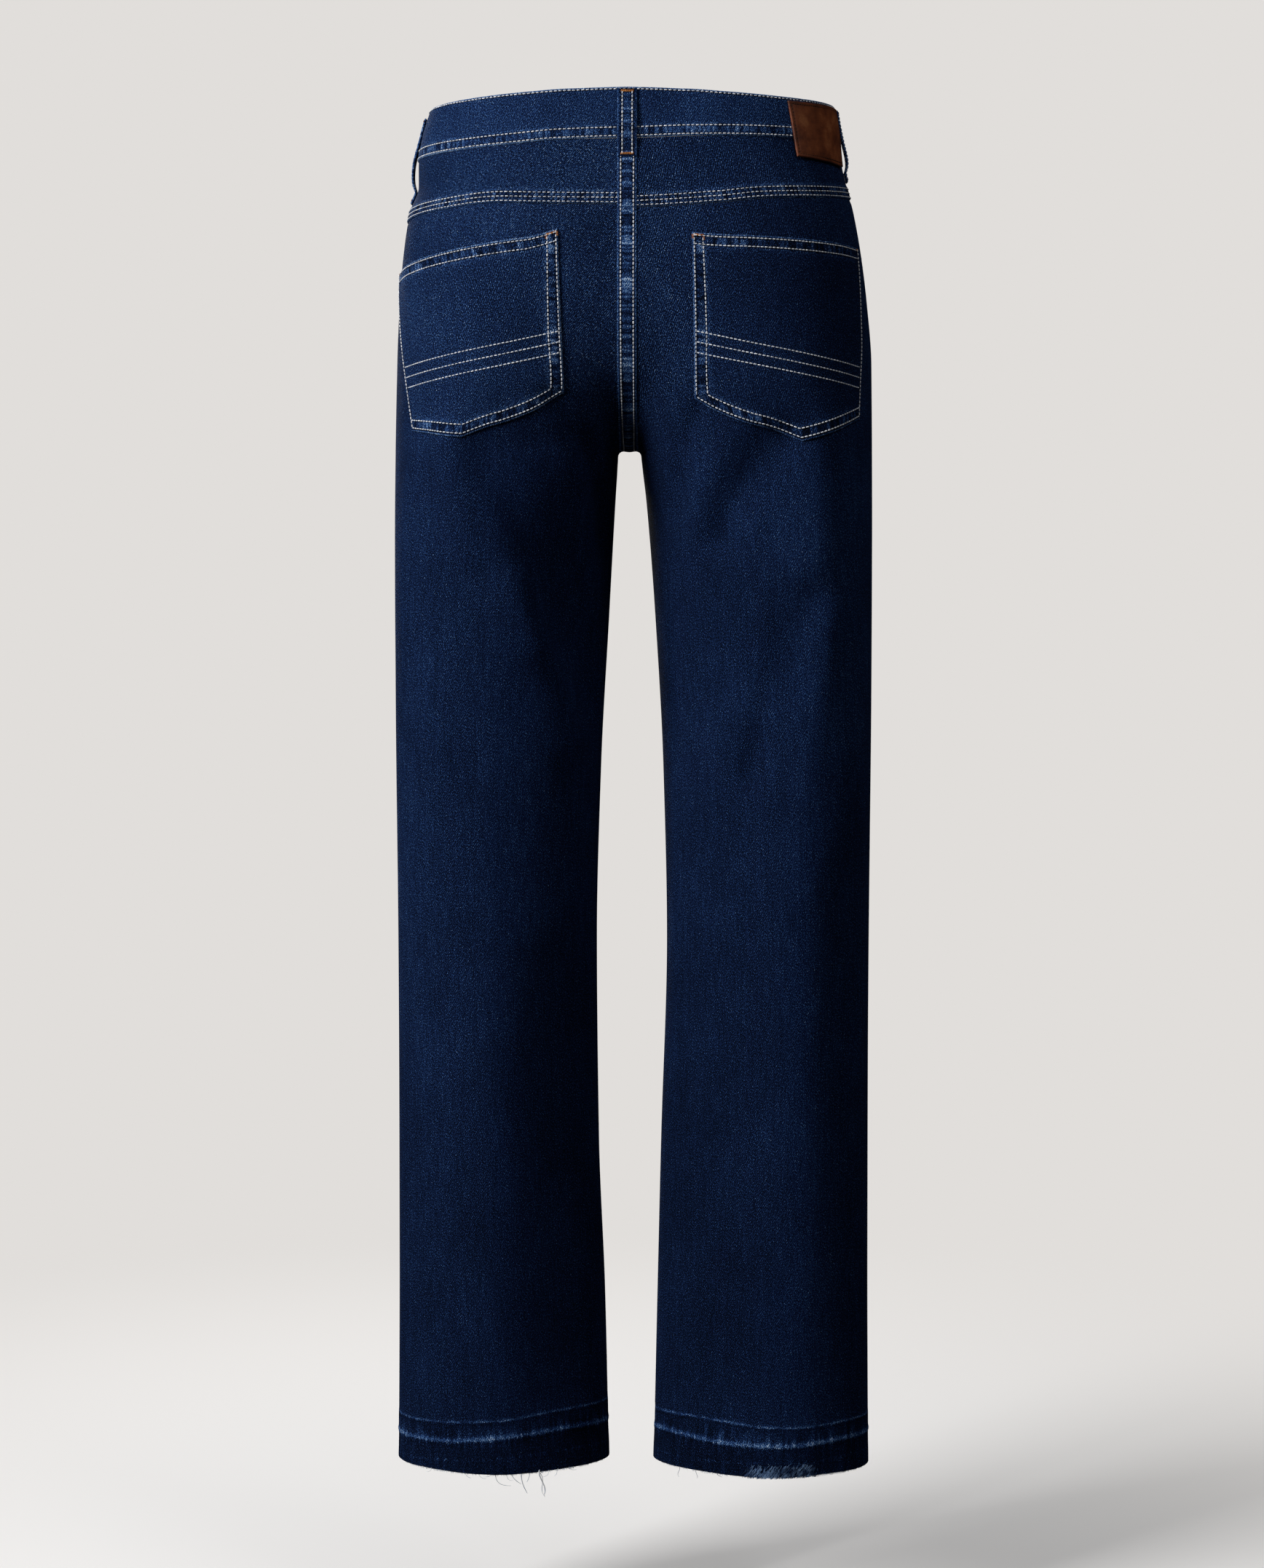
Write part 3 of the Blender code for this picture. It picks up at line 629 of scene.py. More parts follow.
# %% [markdown]
# ## Walls of cloth
#
# Every piece of cloth is a closed wall: an outer face on a grid, an inner face behind it and
# rims round the edges. Solidify could give an even thickness, but here both faces are worked
# out from the form, so a folded edge can be round, a band can swell between its stitches, and
# the pale reverse of the denim gets its own material.
#
# Each wall carries a flat chart in metres, with the warp upright as on the cutting table, and
# marks that tell the material how far each point is from an edge.

# %% Wall builder
CLOTH = 1.2 * MM
SEAM_GAP = 0.3 * MM
ON_TOP = 0.45 * MM


def spaced(start, end, step, close=()):
    """Numbers from start to end about a step apart, with extra ones close to both ends."""
    inside = np.linspace(start, end, int(round(abs(end - start) / step)) + 1)[1:-1]
    far = max(close, default=0)
    inside = inside[(np.abs(inside - start) > far) & (np.abs(inside - end) > far)]
    near = np.array([0, *close]) * np.sign(end - start)
    return np.concatenate([start + near, inside, (end - near)[::-1]])


def rounded(distance, radius):
    """0 at an edge and 1 from a radius on: a quarter circle, root of 1 - (1 - d / r) squared."""
    share = np.clip(distance / radius, 0, 1)
    return np.sqrt(1 - (1 - share) ** 2)


def drawn_in(points, amount=SEAM_GAP / 2):
    """The grid with each edge moved towards its neighbouring row or column."""
    points = points.copy()
    for edge, inner in ((0, 1), (-1, -2)):
        for view in (points, points.swapaxes(0, 1)):
            way = view[inner] - view[edge]
            view[edge] += amount * way / np.linalg.norm(way, axis=-1, keepdims=True)
    return points


def facing_out(points, faces):
    """The faces in the order that points them outwards: the signed volume, a sum of
    a . (b x c) over their triangles, must be positive."""
    a, b, c, d = (points[faces[:, i]] - points.mean(axis=0) for i in range(4))
    volume = np.einsum("ij,ij->", a, np.cross(b, c)) + np.einsum("ij,ij->", a, np.cross(c, d))
    return faces if volume > 0 else faces[:, ::-1]


def add_piece(name, points, faces, materials, slots=None, chart=None, marks=None):
    """Puts a closed mesh in the scene at the origin, riding on the one body."""
    mesh = mesh_of(name, points, faces)
    mesh.set_sharp_from_angle(angle=np.radians(50))
    for material in materials:
        mesh.materials.append(material)
    if slots is not None:
        mesh.polygons.foreach_set("material_index", np.ascontiguousarray(slots, np.int32))
    if chart is not None:
        flat = mesh.uv_layers.new(name="cloth")
        flat.data.foreach_set("uv", np.ascontiguousarray(chart[faces], np.float32).ravel())
    for mark, values in (marks or {}).items():
        layer = mesh.attributes.new(mark, "FLOAT_VECTOR", "POINT")
        layer.data.foreach_set("vector", np.ascontiguousarray(values, np.float32).ravel())
    piece = bpy.data.objects.new(name, mesh)
    scene.collection.objects.link(piece)
    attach(piece, "root")
    return piece


def cloth_wall(name, outer, inner, materials, chart, marks=None, node=None):
    """A closed wall over a grid, which stands for a node. The outer face takes the first
    material, the inner face and the rims the next two."""
    rows, columns = outer.shape[:2]
    size = rows * columns
    index = np.arange(size).reshape(rows, columns)
    face = grid_faces(rows, columns)
    loop = np.concatenate([index[0, :-1], index[:-1, -1], index[-1, :0:-1], index[:0:-1, 0]])
    after = np.roll(loop, -1)
    rims = np.stack([after, loop, loop + size, after + size], axis=-1)
    faces = np.concatenate([face, face[:, ::-1] + size, rims])
    points = np.concatenate([outer.reshape(-1, 3), inner.reshape(-1, 3)])
    slots = np.repeat([0, 1, 2], [len(face), len(face), len(rims)])
    both = {mark: np.tile(values.reshape(-1, 3), (2, 1)) for mark, values in (marks or {}).items()}
    piece = add_piece(name, points, facing_out(points, faces), materials, slots,
                      np.tile(chart.reshape(-1, 2), (2, 1)), both)
    if node:
        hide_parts(node)
    diagonals = outer[1:, 1:] - outer[:-1, :-1], outer[1:, :-1] - outer[:-1, 1:]
    outer_area = np.linalg.norm(np.cross(*diagonals), axis=-1).sum() / 2
    print(f"{name}: {2 * len(faces)} triangles, {outer_area:.4f} square metres")


def flat_chart(points, half, side, offset):
    """Each point's place on the cutting table: the length along its row from the middle
    column, rightwards as seen from outside, and its height. Each piece has an offset of its
    own, in metres, so that no two show the same grain."""
    step = np.linalg.norm(np.diff(points, axis=1), axis=-1)
    along = np.concatenate([np.zeros((len(points), 1)), np.cumsum(step, axis=1)], axis=1)
    along = along - along[:, [points.shape[1] // 2]]
    facing = side if half == BACK else -side
    return np.stack([facing * along + offset, points[..., 2]], axis=-1)


def marked(*values):
    """Three numbers for each point of a grid, as one array."""
    return np.stack(np.broadcast_arrays(*values), axis=-1)


print("the cloth is", round(1000 * CLOTH, 1), "mm thick")

# %% [markdown]
# ## Denim
#
# Denim is a twill: a blue warp thread passes over three white weft threads and under one, and
# each next thread does so one step on, which gives the slanted lines. Only the outside of the
# yarn is dyed with indigo, so wherever the cloth has rubbed on something hard, such as a
# stitched edge, the white core shows.
#
# The material is one number from 0, deep indigo, to 1, bare cotton, for each point. The twill
# lines, white flecks, uneven yarns and clouds of the wash all add to it, and so do the worn
# edges, with painted shade in the dips where their stitches lie. On the legs, yokes and pockets
# a mark adds fading, painted shade and painted highlight. A ramp turns the number into colour.
# The real lines are 0.8 mm apart, too fine to see here, so they are drawn 1.4 mm apart.

# %% Denim material
INDIGO = (
    (0.00, colour("#01040c")),
    (0.22, colour("#061025")),
    (0.36, colour("#101f40")),
    (0.50, colour("#1b325e")),
    (0.68, colour("#3b6094")),
    (0.84, colour("#7d9cc2")),
    (1.00, colour("#c6d2de")),
)
REVERSE = (
    (0.00, colour("#1b2433")),
    (0.35, colour("#3f4d63")),
    (0.60, colour("#71808f")),
    (1.00, colour("#c4cad0")),
)
TWILL_GAP = 1.4 * MM
TWILL_ANGLE = np.radians(58)
# The wave texture's lines are this far apart at a scale of 1: 2 pi over its own factor, 20.
WAVE_OF_ONE_METRE = 0.314
# Taken off before the yarns are sharpened, so that the cloth as a whole grows no paler.
MEAN_OF_WEAVE = 0.11

# Wear and painted shade across a sewn edge: pairs of a distance from the finished edge in
# millimetres and how much paler (or darker, below zero) the cloth is there. The pale tones at
# the folds are rubbed wear, partly painted highlight. The dark dips where the stitches lie are
# painted shade round the stitches.
BAND_WEAR_AND_SHADE = ((0, 0.32), (0.8, 0.26), (1.3, -0.30), (1.9, -0.30), (2.7, 0.03), (6.8, 0.03),
             (7.4, -0.20), (7.95, -0.34), (8.5, -0.14), (9.2, 0.09), (11, 0))
YOKE_WEAR_AND_SHADE = ((0, 0.22), (0.6, 0.14), (1.35, -0.30), (2.3, 0.02), (3.7, 0.02), (4.7, -0.30),
             (5.7, 0.02), (7.1, 0.02), (8.1, -0.30), (9.0, 0.05), (10, 0.12), (11.5, 0))
POCKET_WEAR_AND_SHADE = ((0, 0.32), (1.1, 0.26), (1.6, -0.10), (2.3, -0.34), (3.1, -0.14), (4, 0), (8, 0),
               (8.5, -0.16), (9.2, -0.34), (9.9, -0.04), (10.7, 0.12), (12, 0.05), (15, 0))
STRIP_WEAR_AND_SHADE = ((0, 0.24), (1.0, 0.12), (1.8, -0.12), (2.6, -0.32), (3.4, -0.08), (4.3, 0.06),
              (7.5, 0.10))
LOOP_WEAR_AND_SHADE = ((0, 0.26), (1.4, 0.02), (2.8, -0.10), (3.7, -0.20), (4.4, 0.0), (5.2, 0.10),
             (7.5, 0.14))
# Tones at or below this mark the rows of stitches, whose dips are painted shade.
STITCHED_TONE = -0.16


def profile(tree, distance, start, end, stops):
    """A tone that follows a line given as pairs: a ramp of greys, less one half."""
    share = add(tree, "MapRange", {"Value": distance, "From Min": start * MM, "From Max": end * MM})
    greys = [((d - start) / (end - start), (tone + 0.5,) * 3 + (1.0,)) for d, tone in stops]
    grey = add(tree, "ValToRGB", {"Fac": share}, stops=greys)
    return add(tree, "Math", {0: grey, 1: 0.5}, operation="SUBTRACT")


def blotches(tree, place, scales, low, high, dark, pale):
    """Noise whose values from low to high give tones from dark to pale."""
    return add(tree, "MapRange", {"Value": noise_at(tree, place, scales), "From Min": low,
                                  "From Max": high, "To Min": dark, "To Max": pale})


def seam_wear_and_shade(tree, wear_and_shade, patchy):
    """Wear and painted shade along a sewn edge, from the marks distance, place along and
    strength, which is 0 where only one row of stitches runs. The fold is rubbed pale, partly
    painted highlight, the rows of stitches lie in painted shade, and between the rows the cloth
    is puckered in ridges 3 mm apart and rubbed in patches a centimetre apart. patchy says how
    strong the patches are."""
    away, along, strength = mark_of(tree, "seam")
    place = add(tree, "CombineXYZ", {0: along, 1: away})
    last_row = [distance for distance, tone in wear_and_shade if tone <= STITCHED_TONE][-1]
    inside = add(tree, "MapRange", {"Value": away, "From Min": 0.4 * MM, "From Max": 3.4 * MM},
                 interpolation_type="SMOOTHSTEP")
    if last_row > 4:
        past = add(tree, "MapRange", {"Value": away, "From Min": last_row * MM,
                                      "From Max": (last_row + 2.5) * MM, "To Min": 1.0,
                                      "To Max": 0.0}, interpolation_type="SMOOTHSTEP")
        inside = add(tree, "Math", {0: inside, 1: past}, operation="MULTIPLY")
    inside = add(tree, "Math", {0: inside, 1: strength}, operation="MULTIPLY")
    ridges = blotches(tree, place, (330, 60), 0.36, 0.66, -0.19, 0.19)
    patches = blotches(tree, place, (105, 60), 0.46, 0.66, -0.25 * patchy, patchy)
    worn = total(tree, ridges, patches)
    line = profile(tree, away, 0, wear_and_shade[-1][0], wear_and_shade)
    uneven = blotches(tree, place, (190, 150), 0.3, 0.7, 0.45, 1.35)
    line = add(tree, "Math", {0: line, 1: uneven}, operation="MULTIPLY")
    first = add(tree, "MapRange", {"Value": away, "From Min": 4 * MM, "From Max": 5 * MM,
                                   "To Min": 1.0, "To Max": 0.0})
    both_rows = add(tree, "Math", {0: first, 1: strength}, operation="MAXIMUM")
    line = add(tree, "Math", {0: line, 1: both_rows}, operation="MULTIPLY")
    return add(tree, "Math", {0: worn, 1: inside, 2: line}, operation="MULTIPLY_ADD")


OLD_ROW_WEAR = ((-4, 0.0), (-1.8, -0.07), (-0.9, 0.08), (0, 0.33), (1.0, 0.10), (2.4, 0.0))
OLD_FOLD_WEAR = ((-24, -0.06), (-1.9, -0.08), (-1.0, 0.12), (0.3, 0.31), (1.7, 0.24), (3.8, 0.0),
                 (12, -0.04), (17, 0.0))


def hem_wear(tree, place):
    """A let-down hem, from the marks height above its three old lines. Between the old row
    of stitches and the old fold the cloth is puckered, the fold is rubbed pale, the strip
    below it was folded away in laundering and stays dark, and needle holes dot the last."""
    old_row, old_fold, holes = mark_of(tree, "hem_lines")
    wander = blotches(tree, place, (900, 300), 0.3, 0.7, -1.3 * MM, 1.3 * MM)
    shaky_row = add(tree, "Math", {0: wander, 1: 0.6, 2: old_row}, operation="MULTIPLY_ADD")
    fold = profile(tree, total(tree, old_fold, wander), -24, 17, OLD_FOLD_WEAR)
    row = profile(tree, shaky_row, -4, 2.5, OLD_ROW_WEAR)
    patchy = blotches(tree, place, (110, 60), 0.35, 0.60, 0.5, 1.25)
    row = add(tree, "Math", {0: row, 1: patchy}, operation="MULTIPLY")
    above = add(tree, "MapRange", {"Value": old_fold, "From Min": -12 * MM, "From Max": 2 * MM,
                                   "To Min": 0.30}, interpolation_type="SMOOTHSTEP")
    below = add(tree, "MapRange", {"Value": old_row, "From Min": -14 * MM, "From Max": 1 * MM,
                                   "To Min": 1.0, "To Max": 0.15},
                interpolation_type="SMOOTHSTEP")
    between = add(tree, "Math", {0: above, 1: below}, operation="MULTIPLY")
    puckers = total(tree, blotches(tree, place, (290, 45), 0.42, 0.68, -0.07, 0.20),
                    blotches(tree, place, (90, 20), 0.35, 0.65, -0.06, 0.07))
    tone = add(tree, "Math", {0: puckers, 1: between, 2: total(tree, fold, row)},
               operation="MULTIPLY_ADD")
    dots = blotches(tree, place, (520, 10), 0.50, 0.60, 0.0, 0.20)
    from_holes = add(tree, "Math", {0: total(tree, holes, wander)}, operation="ABSOLUTE")
    near = add(tree, "MapRange", {"Value": from_holes, "From Min": 0.3 * MM, "From Max": 1.0 * MM,
                                  "To Min": 1.0, "To Max": 0.0})
    return add(tree, "Math", {0: dots, 1: near, 2: tone}, operation="MULTIPLY_ADD")


def denim(name, ramp, depth, wear_and_shade=None, patchy=0.1, has_hem=False, washed=False, cloudy=0.03):
    """Cotton twill: a matt surface with next to no gloss. depth is the number that the
    cloth has where nothing is worn. When washed is set, a mark gives how much paler or darker
    the cloth is, partly fading and partly painted shade and painted highlight, and how much more
    its bare yarns stand out."""
    material, tree = new_material(name)
    place = add(tree, "UVMap", uv_map="cloth")
    slanted = add(tree, "Mapping", {"Vector": place, "Rotation": (0, 0, -TWILL_ANGLE)})
    twill = add(tree, "TexWave", {"Vector": slanted, "Scale": WAVE_OF_ONE_METRE / TWILL_GAP,
                                  "Distortion": 2.2, "Detail": 2.0, "Detail Scale": 1.6},
                bands_direction="Y")
    twill_tone = add(tree, "MapRange", {"Value": twill, "To Min": -0.07, "To Max": 0.07})
    flecks = blotches(tree, slanted, (820, 1300), 0.33, 0.72, -0.22, 0.34)
    bare = blotches(tree, slanted, (1100, 1500), 0.60, 0.74, 0.0, 0.30)
    slubs = blotches(tree, place, (900, 40), 0.3, 0.7, -0.035, 0.035)
    streaks = blotches(tree, place, (170, 9), 0.3, 0.7, -0.012, 0.012)
    clouds = blotches(tree, place, (16, 12), 0.3, 0.7, -cloudy, cloudy)
    weave = total(tree, twill_tone, flecks, bare)
    lighter = []
    # The mark's first number is a tone of fading, painted shade and painted highlight.
    if washed:
        paler, crisp, _ = mark_of(tree, "wash_and_painted_shade")
        lighter = [paler]
        sharper = total(tree, weave, twill_tone, -MEAN_OF_WEAVE)
        weave = add(tree, "Math", {0: sharper, 1: crisp, 2: weave}, operation="MULTIPLY_ADD")
    # Worn edges, with painted shade at their stitches, and the worn hem.
    worn = [seam_wear_and_shade(tree, wear_and_shade, patchy)] if wear_and_shade else []
    worn += [hem_wear(tree, place)] if has_hem else []
    shade = total(tree, weave, slubs, streaks, clouds, depth, *worn, *lighter)
    tint = add(tree, "ValToRGB", {"Fac": shade}, stops=ramp)
    bump = add(tree, "Bump", {"Height": total(tree, weave, *worn), "Strength": 0.6,
                              "Distance": 0.8 * MM})
    show(tree, add(tree, "BsdfPrincipled", {"Base Color": tint, "Normal": bump,
                                            "Roughness": 0.88, "Specular IOR Level": 0.04}))
    return material


leg_denim = denim("washed indigo denim", INDIGO, 0.282, has_hem=True, washed=True)
plain_denim = denim("washed indigo denim, plain", INDIGO, 0.36)
band_denim = denim("indigo denim, doubled waistband", INDIGO, 0.375, BAND_WEAR_AND_SHADE, 0.06, cloudy=0.06)
yoke_denim = denim("indigo denim, rubbed yoke seam", INDIGO, 0.342, YOKE_WEAR_AND_SHADE, 0.08, washed=True)
pocket_denim = denim("indigo denim, patch pocket", INDIGO, 0.348, POCKET_WEAR_AND_SHADE, 0.18, washed=True)
strip_denim = denim("indigo denim, felled seam", INDIGO, 0.350, STRIP_WEAR_AND_SHADE, 0.21)
loop_denim = denim("indigo denim, belt loops", INDIGO, 0.325, LOOP_WEAR_AND_SHADE, 0.12)
reverse_denim = denim("denim reverse, mostly white weft", REVERSE, 0.42)
edge_denim = denim("raw denim edge, cut yarns", REVERSE, 0.55)
print("denim materials:", len([m for m in bpy.data.materials if "denim" in m.name]))

# %% [markdown]
# ## The legs
#
# Each leg is a back and a front panel, about a metre of cloth without a seam. The rows are
# close together at the hem, where the old fold and its puckers are, and near the crotch, where
# four panels meet. The long edges sink by half a millimetre, as cloth does that is turned in
# at a seam.

# %% Leg panels
LEG_COLUMNS = spaced(0, 1, 1 / 84, close=(0.002, 0.005, 0.010))
WAIST_BLEND_LEVEL = -155 * MM
HEM_BLEND_LEVEL = -1000 * MM
HALF_WIDTH = 260 * MM

# Heights above the raw hem of the old row of stitches, the old fold and the needle holes.
HEM_LINES = {
    LEFT: table(
        "across old_row old_fold holes",
        (1000, 48.3, 30.7, 13.5),
        (725, 48.5, 32.9, 15.6),
        (550, 45.0, 30.0, 13.7),
        (367, 41.3, 25.1, 9.5),
        (194, 38.5, 22.9, 6.1),
        (0, 37.0, 21.0, 4.0),
    ),
    RIGHT: table(
        "across old_row old_fold holes",
        (1000, 41.5, 25.5, 8.0),
        (850, 43.5, 28.0, 9.0),
        (730, 44.8, 27.2, 9.5),
        (640, 43.9, 25.6, 10.2),
        (500, 41.3, 25.1, 12.5),
        (328, 41.3, 26.6, 11.5),
        (220, 42.0, 27.5, 13.5),
        (0, 41.5, 26.5, 13.0),
    ),
}


# Tones on the legs, above zero paler and below darker, as lines like the folds. Some are
# fading from the wash; others are painted shade, in the hollows near the crotch, beside the
# creases and down the lower legs, and painted highlight along ridges of the seat and thighs.
WASH_AND_SHADE_COLUMNS = "from_across from_level to_across to_level width tone"
WASH_AND_PAINTED_SHADE = {
    (BACK, LEFT): table(
        WASH_AND_SHADE_COLUMNS,
        (350, -60, 650, -150, 90, 50),
        (260, -300, 300, -800, 45, 12),
        (500, -1060, 500, -900, 190, -30),
        (860, -700, 860, -1050, 45, -20),
        (470, -820, 470, -1060, 120, -18),
        (880, -300, 900, -480, 26, 42),
        (690, -212, 890, -318, 15, -50),
        (870, -90, 870, -200, 32, -30),
        (560, -238, 700, -330, 26, -32),
    ),
    (BACK, RIGHT): table(
        WASH_AND_SHADE_COLUMNS,
        (830, -70, 850, -170, 60, 45),
        (480, -70, 420, -120, 60, -25),
        (900, -215, 900, -300, 40, -40),
        (600, -212, 880, -262, 30, -45),
        (800, -290, 840, -360, 28, -25),
        (215, -290, 205, -460, 34, 38),
        (500, -460, 540, -1060, 120, -24),
        (390, -330, 350, -1040, 34, 55),
        (500, -1060, 500, -900, 190, -25),
        (820, -680, 820, -1050, 45, -35),
    ),
    (FRONT, LEFT): table(WASH_AND_SHADE_COLUMNS, (450, -250, 420, -520, 45, 35)),
    (FRONT, RIGHT): table(WASH_AND_SHADE_COLUMNS, (450, -260, 400, -540, 42, 35)),
}


def crispness(points):
    """How much more the bare yarns stand out: most at the seat beside the centre seam, where
    it is rubbed, and least at the thighs: e to the power of minus (distance / 75 mm) squared."""
    beside = np.exp(-((points[..., 0] / (75 * MM)) ** 2))
    return (0.11 + 0.24 * beside) * ease((points[..., 2] + 270 * MM) / (90 * MM))


def leg_levels(top, foot):
    """Levels of a panel's rows: fitted to its top edge, then level, then fitted to the hem."""
    upper = mix(top, WAIST_BLEND_LEVEL, np.linspace(0, 1, 28)[:-1, None])
    middle = MM * np.concatenate(
        [np.arange(-155, -200, -4), np.arange(-200, -300, -2.5), np.arange(-300, -1000, -4.5)]
    )
    middle = np.repeat(middle[:, None], len(top), axis=1)
    lower = mix(HEM_BLEND_LEVEL, foot, np.linspace(0, 1, 47)[:, None])
    return np.concatenate([upper, middle, lower])


def hem_lines(across, side):
    """The heights of the three old lines above the hem."""
    return {name: curve(across, HEM_LINES[side], name, "across")
            for name in ("old_row", "old_fold", "holes")}


def hem_relief(across, height, side):
    """The hem's own shape: a ridge at the old fold, e to the power of minus (distance / 1.6 mm)
    squared, and between the old lines upright puckers, a product of two sines of the place
    across, which fade out above and below."""
    place = across * HALF_WIDTH
    lines = hem_lines(across, side)
    fold = height - lines["old_fold"]
    row = height - lines["old_row"]
    ridge = 0.55 * MM * np.exp(-((fold / (1.6 * MM)) ** 2))
    wave = np.sin(place / (2.3 * MM) + side) * np.sin(place / (9.1 * MM) + 2 * side)
    between = ease((fold + 3 * MM) / (5 * MM)) * ease((4 * MM - row) / (7 * MM))
    flare = 0.8 * MM * ease(-fold / (22 * MM)) * np.sin(place / (17 * MM))
    return ridge + 0.45 * MM * wave * between + flare


def make_leg(half, side):
    """One leg panel from its top edge to the raw hem."""
    across = LEG_COLUMNS
    top = seam("yoke", across, BACK, side) if half == BACK else scoop(across, side)
    foot = hem(across, side, half)
    level = leg_levels(top, foot)
    height = level - foot
    lines = hem_lines(across, side)
    relief = hem_relief(across, height, side)
    edge = np.minimum(across, 1 - across) * HALF_WIDTH
    below_top = top - level
    sink = -0.5 * MM * (1 - rounded(edge, 1.8 * MM)) - 0.5 * MM * (1 - ease(below_top / (3 * MM)))
    outer = skin(across, level, half, side, relief + sink, dip=True)
    inner = skin(across, level, half, side, np.minimum(relief, 0) - CLOTH, dip=True)
    chart = flat_chart(outer, half, side, 2.0 * side + (0.7 if half == FRONT else 0.0))
    # Tones of fading, painted shade and painted highlight, from the table above.
    wash_and_painted_shade = bells(WASH_AND_PAINTED_SHADE[half, side], np.broadcast_to(across, level.shape), outer[..., 2], "tone")
    marks = {"hem_lines": marked(*(height - lines[name] for name in lines)),
             "wash_and_painted_shade": marked(wash_and_painted_shade, crispness(outer), 0)}
    node = f"{half}_{SIDE_NAME[side]}"
    cloth_wall(node + "_cloth", drawn_in(outer), drawn_in(inner),
               [leg_denim, reverse_denim, edge_denim], chart, marks, node)


for half in (BACK, FRONT):
    for side in SIDES:
        make_leg(half, side)

# %% [markdown]
# ## The yokes
#
# A yoke is the slanted piece that takes the place of a dart between waist and seat. Its lower edge
# is folded under, laid on the leg panel and sewn with three rows, so that a strip a centimetre
# wide stands proud, rubbed to a greyer blue than the rest.

# %% Yokes
YOKE_BAND = 10.4 * MM
YOKE_PROUD = 0.65 * MM
YOKE_ROWS = (1.35 * MM, 4.7 * MM, 8.1 * MM)
# Painted shade on each yoke, deepest towards its side seam, and much deeper on the right one, which
# faces away from the key light.
YOKE_PAINTED_SHADE = {LEFT: -0.01, RIGHT: -0.055}


def make_yoke(side):
    """One yoke: its levels are mixed from the band's edge down to the yoke seam."""
    across = LEG_COLUMNS
    share = spaced(0, 1, 1 / 30, close=(0.006, 0.015, 0.03))[:, None]
    top = seam("band", across, BACK, side)
    foot = seam("yoke", across, BACK, side)
    level = mix(top, foot, share)
    above = level - foot
    edge = np.minimum(across, 1 - across) * HALF_WIDTH
    band = ease((YOKE_BAND + 1.5 * MM - above) / (3 * MM))
    lift = YOKE_PROUD * band - 0.9 * MM * (1 - rounded(above, 1 * MM))
    lift = lift - 0.4 * MM * (1 - rounded(edge, 1.8 * MM))
    outer = skin(across, level, BACK, side, lift)
    inner = skin(across, level, BACK, side, -CLOTH)
    chart = flat_chart(outer, BACK, side, 4.0 * side)
    # The first number of the second mark is painted shade, darker towards the side seam.
    marks = {"seam": marked(above, chart[..., 0], np.ones_like(above)),
             "wash_and_painted_shade": marked(YOKE_PAINTED_SHADE[side] * (1.3 - across), crispness(outer), 0)}
    node = f"yoke_{SIDE_NAME[side]}"
    cloth_wall(node + "_cloth", drawn_in(outer), drawn_in(inner),
               [yoke_denim, reverse_denim, yoke_denim], chart, marks, node)


for side in SIDES:
    make_yoke(side)

# %% [markdown]
# ## The waistband
#
# The waistband is one long strip, folded double, that runs all the way round. Its left front end
# laps over the right one at the button. It is a little thicker than the rest, round at its folds,
# and it swells between its rows of stitches.

# %% Waistband
BAND_OUTSIDE, BAND_INSIDE = 0.9 * MM, -1.5 * MM
BAND_LAP = 18 * MM
BAND_LAP_RISE = 32 * MM
UNDERLAP_LIFT = 1 * MM
BAND_RAISED = BAND_OUTSIDE - BAND_INSIDE + SEAM_GAP
BAND_ROWS = (1.5 * MM, 7.95 * MM)
BAND_TOP_ROW = 1.6 * MM
LAP_COLUMNS = 6
RING_COLUMNS = spaced(0, 1, 1 / 84)
RING = (
    (FRONT, RIGHT, RING_COLUMNS[:0:-1]),
    (BACK, RIGHT, RING_COLUMNS[:-1]),
    (BACK, LEFT, RING_COLUMNS[::-1]),
    (FRONT, LEFT, RING_COLUMNS[1:]),
)


def band_surface(share, lift):
    """The waistband's points, for shares from its top edge to its lower edge, from the lap's
    under end round the back to its upper end. The ends run on straight past the middle,
    and the upper one is raised by the band's thickness as it comes to the lap."""
    stations = sum(len(across) for _, _, across in RING)
    share = np.broadcast_to(share, (len(share), stations))
    lift = np.broadcast_to(lift, share.shape)
    parts, start = [], 0
    for half, side, across in RING:
        here = slice(start, start + len(across))
        top, foot = seam("top", across, half, side), seam("band", across, half, side)
        parts.append(skin(across, mix(top, foot, share[:, here]), half, side, lift[:, here]))
        start += len(across)
    grid = np.concatenate(parts, axis=1)
    past = np.linspace(0, BAND_LAP, LAP_COLUMNS + 1)[1:, None] * np.array([1, 0, 0])
    under = grid[:, :1] + past[::-1] + np.array([0, 0, UNDERLAP_LIFT])
    grid = np.concatenate([under, grid, grid[:, -1:] - past], axis=1)
    rise = ease((BAND_LAP_RISE - grid[..., 0]) / (BAND_LAP_RISE - BAND_LAP))
    on_left_front = (np.arange(grid.shape[1]) > grid.shape[1] * 0.55) & (grid[..., 1] < 0)
    grid[..., 1] -= BAND_RAISED * rise * on_left_front
    return grid


def band_height():
    """The band's height at each of its stations."""
    return np.concatenate(
        [seam("top", across, half, side) - seam("band", across, half, side)
         for half, side, across in RING]
    )


height = band_height()
share = spaced(0, 1, 1 / 22, close=(0.008, 0.02, 0.035))[:, None]
above_foot, below_top = (1 - share) * height, share * height
edge = np.minimum(above_foot, below_top)
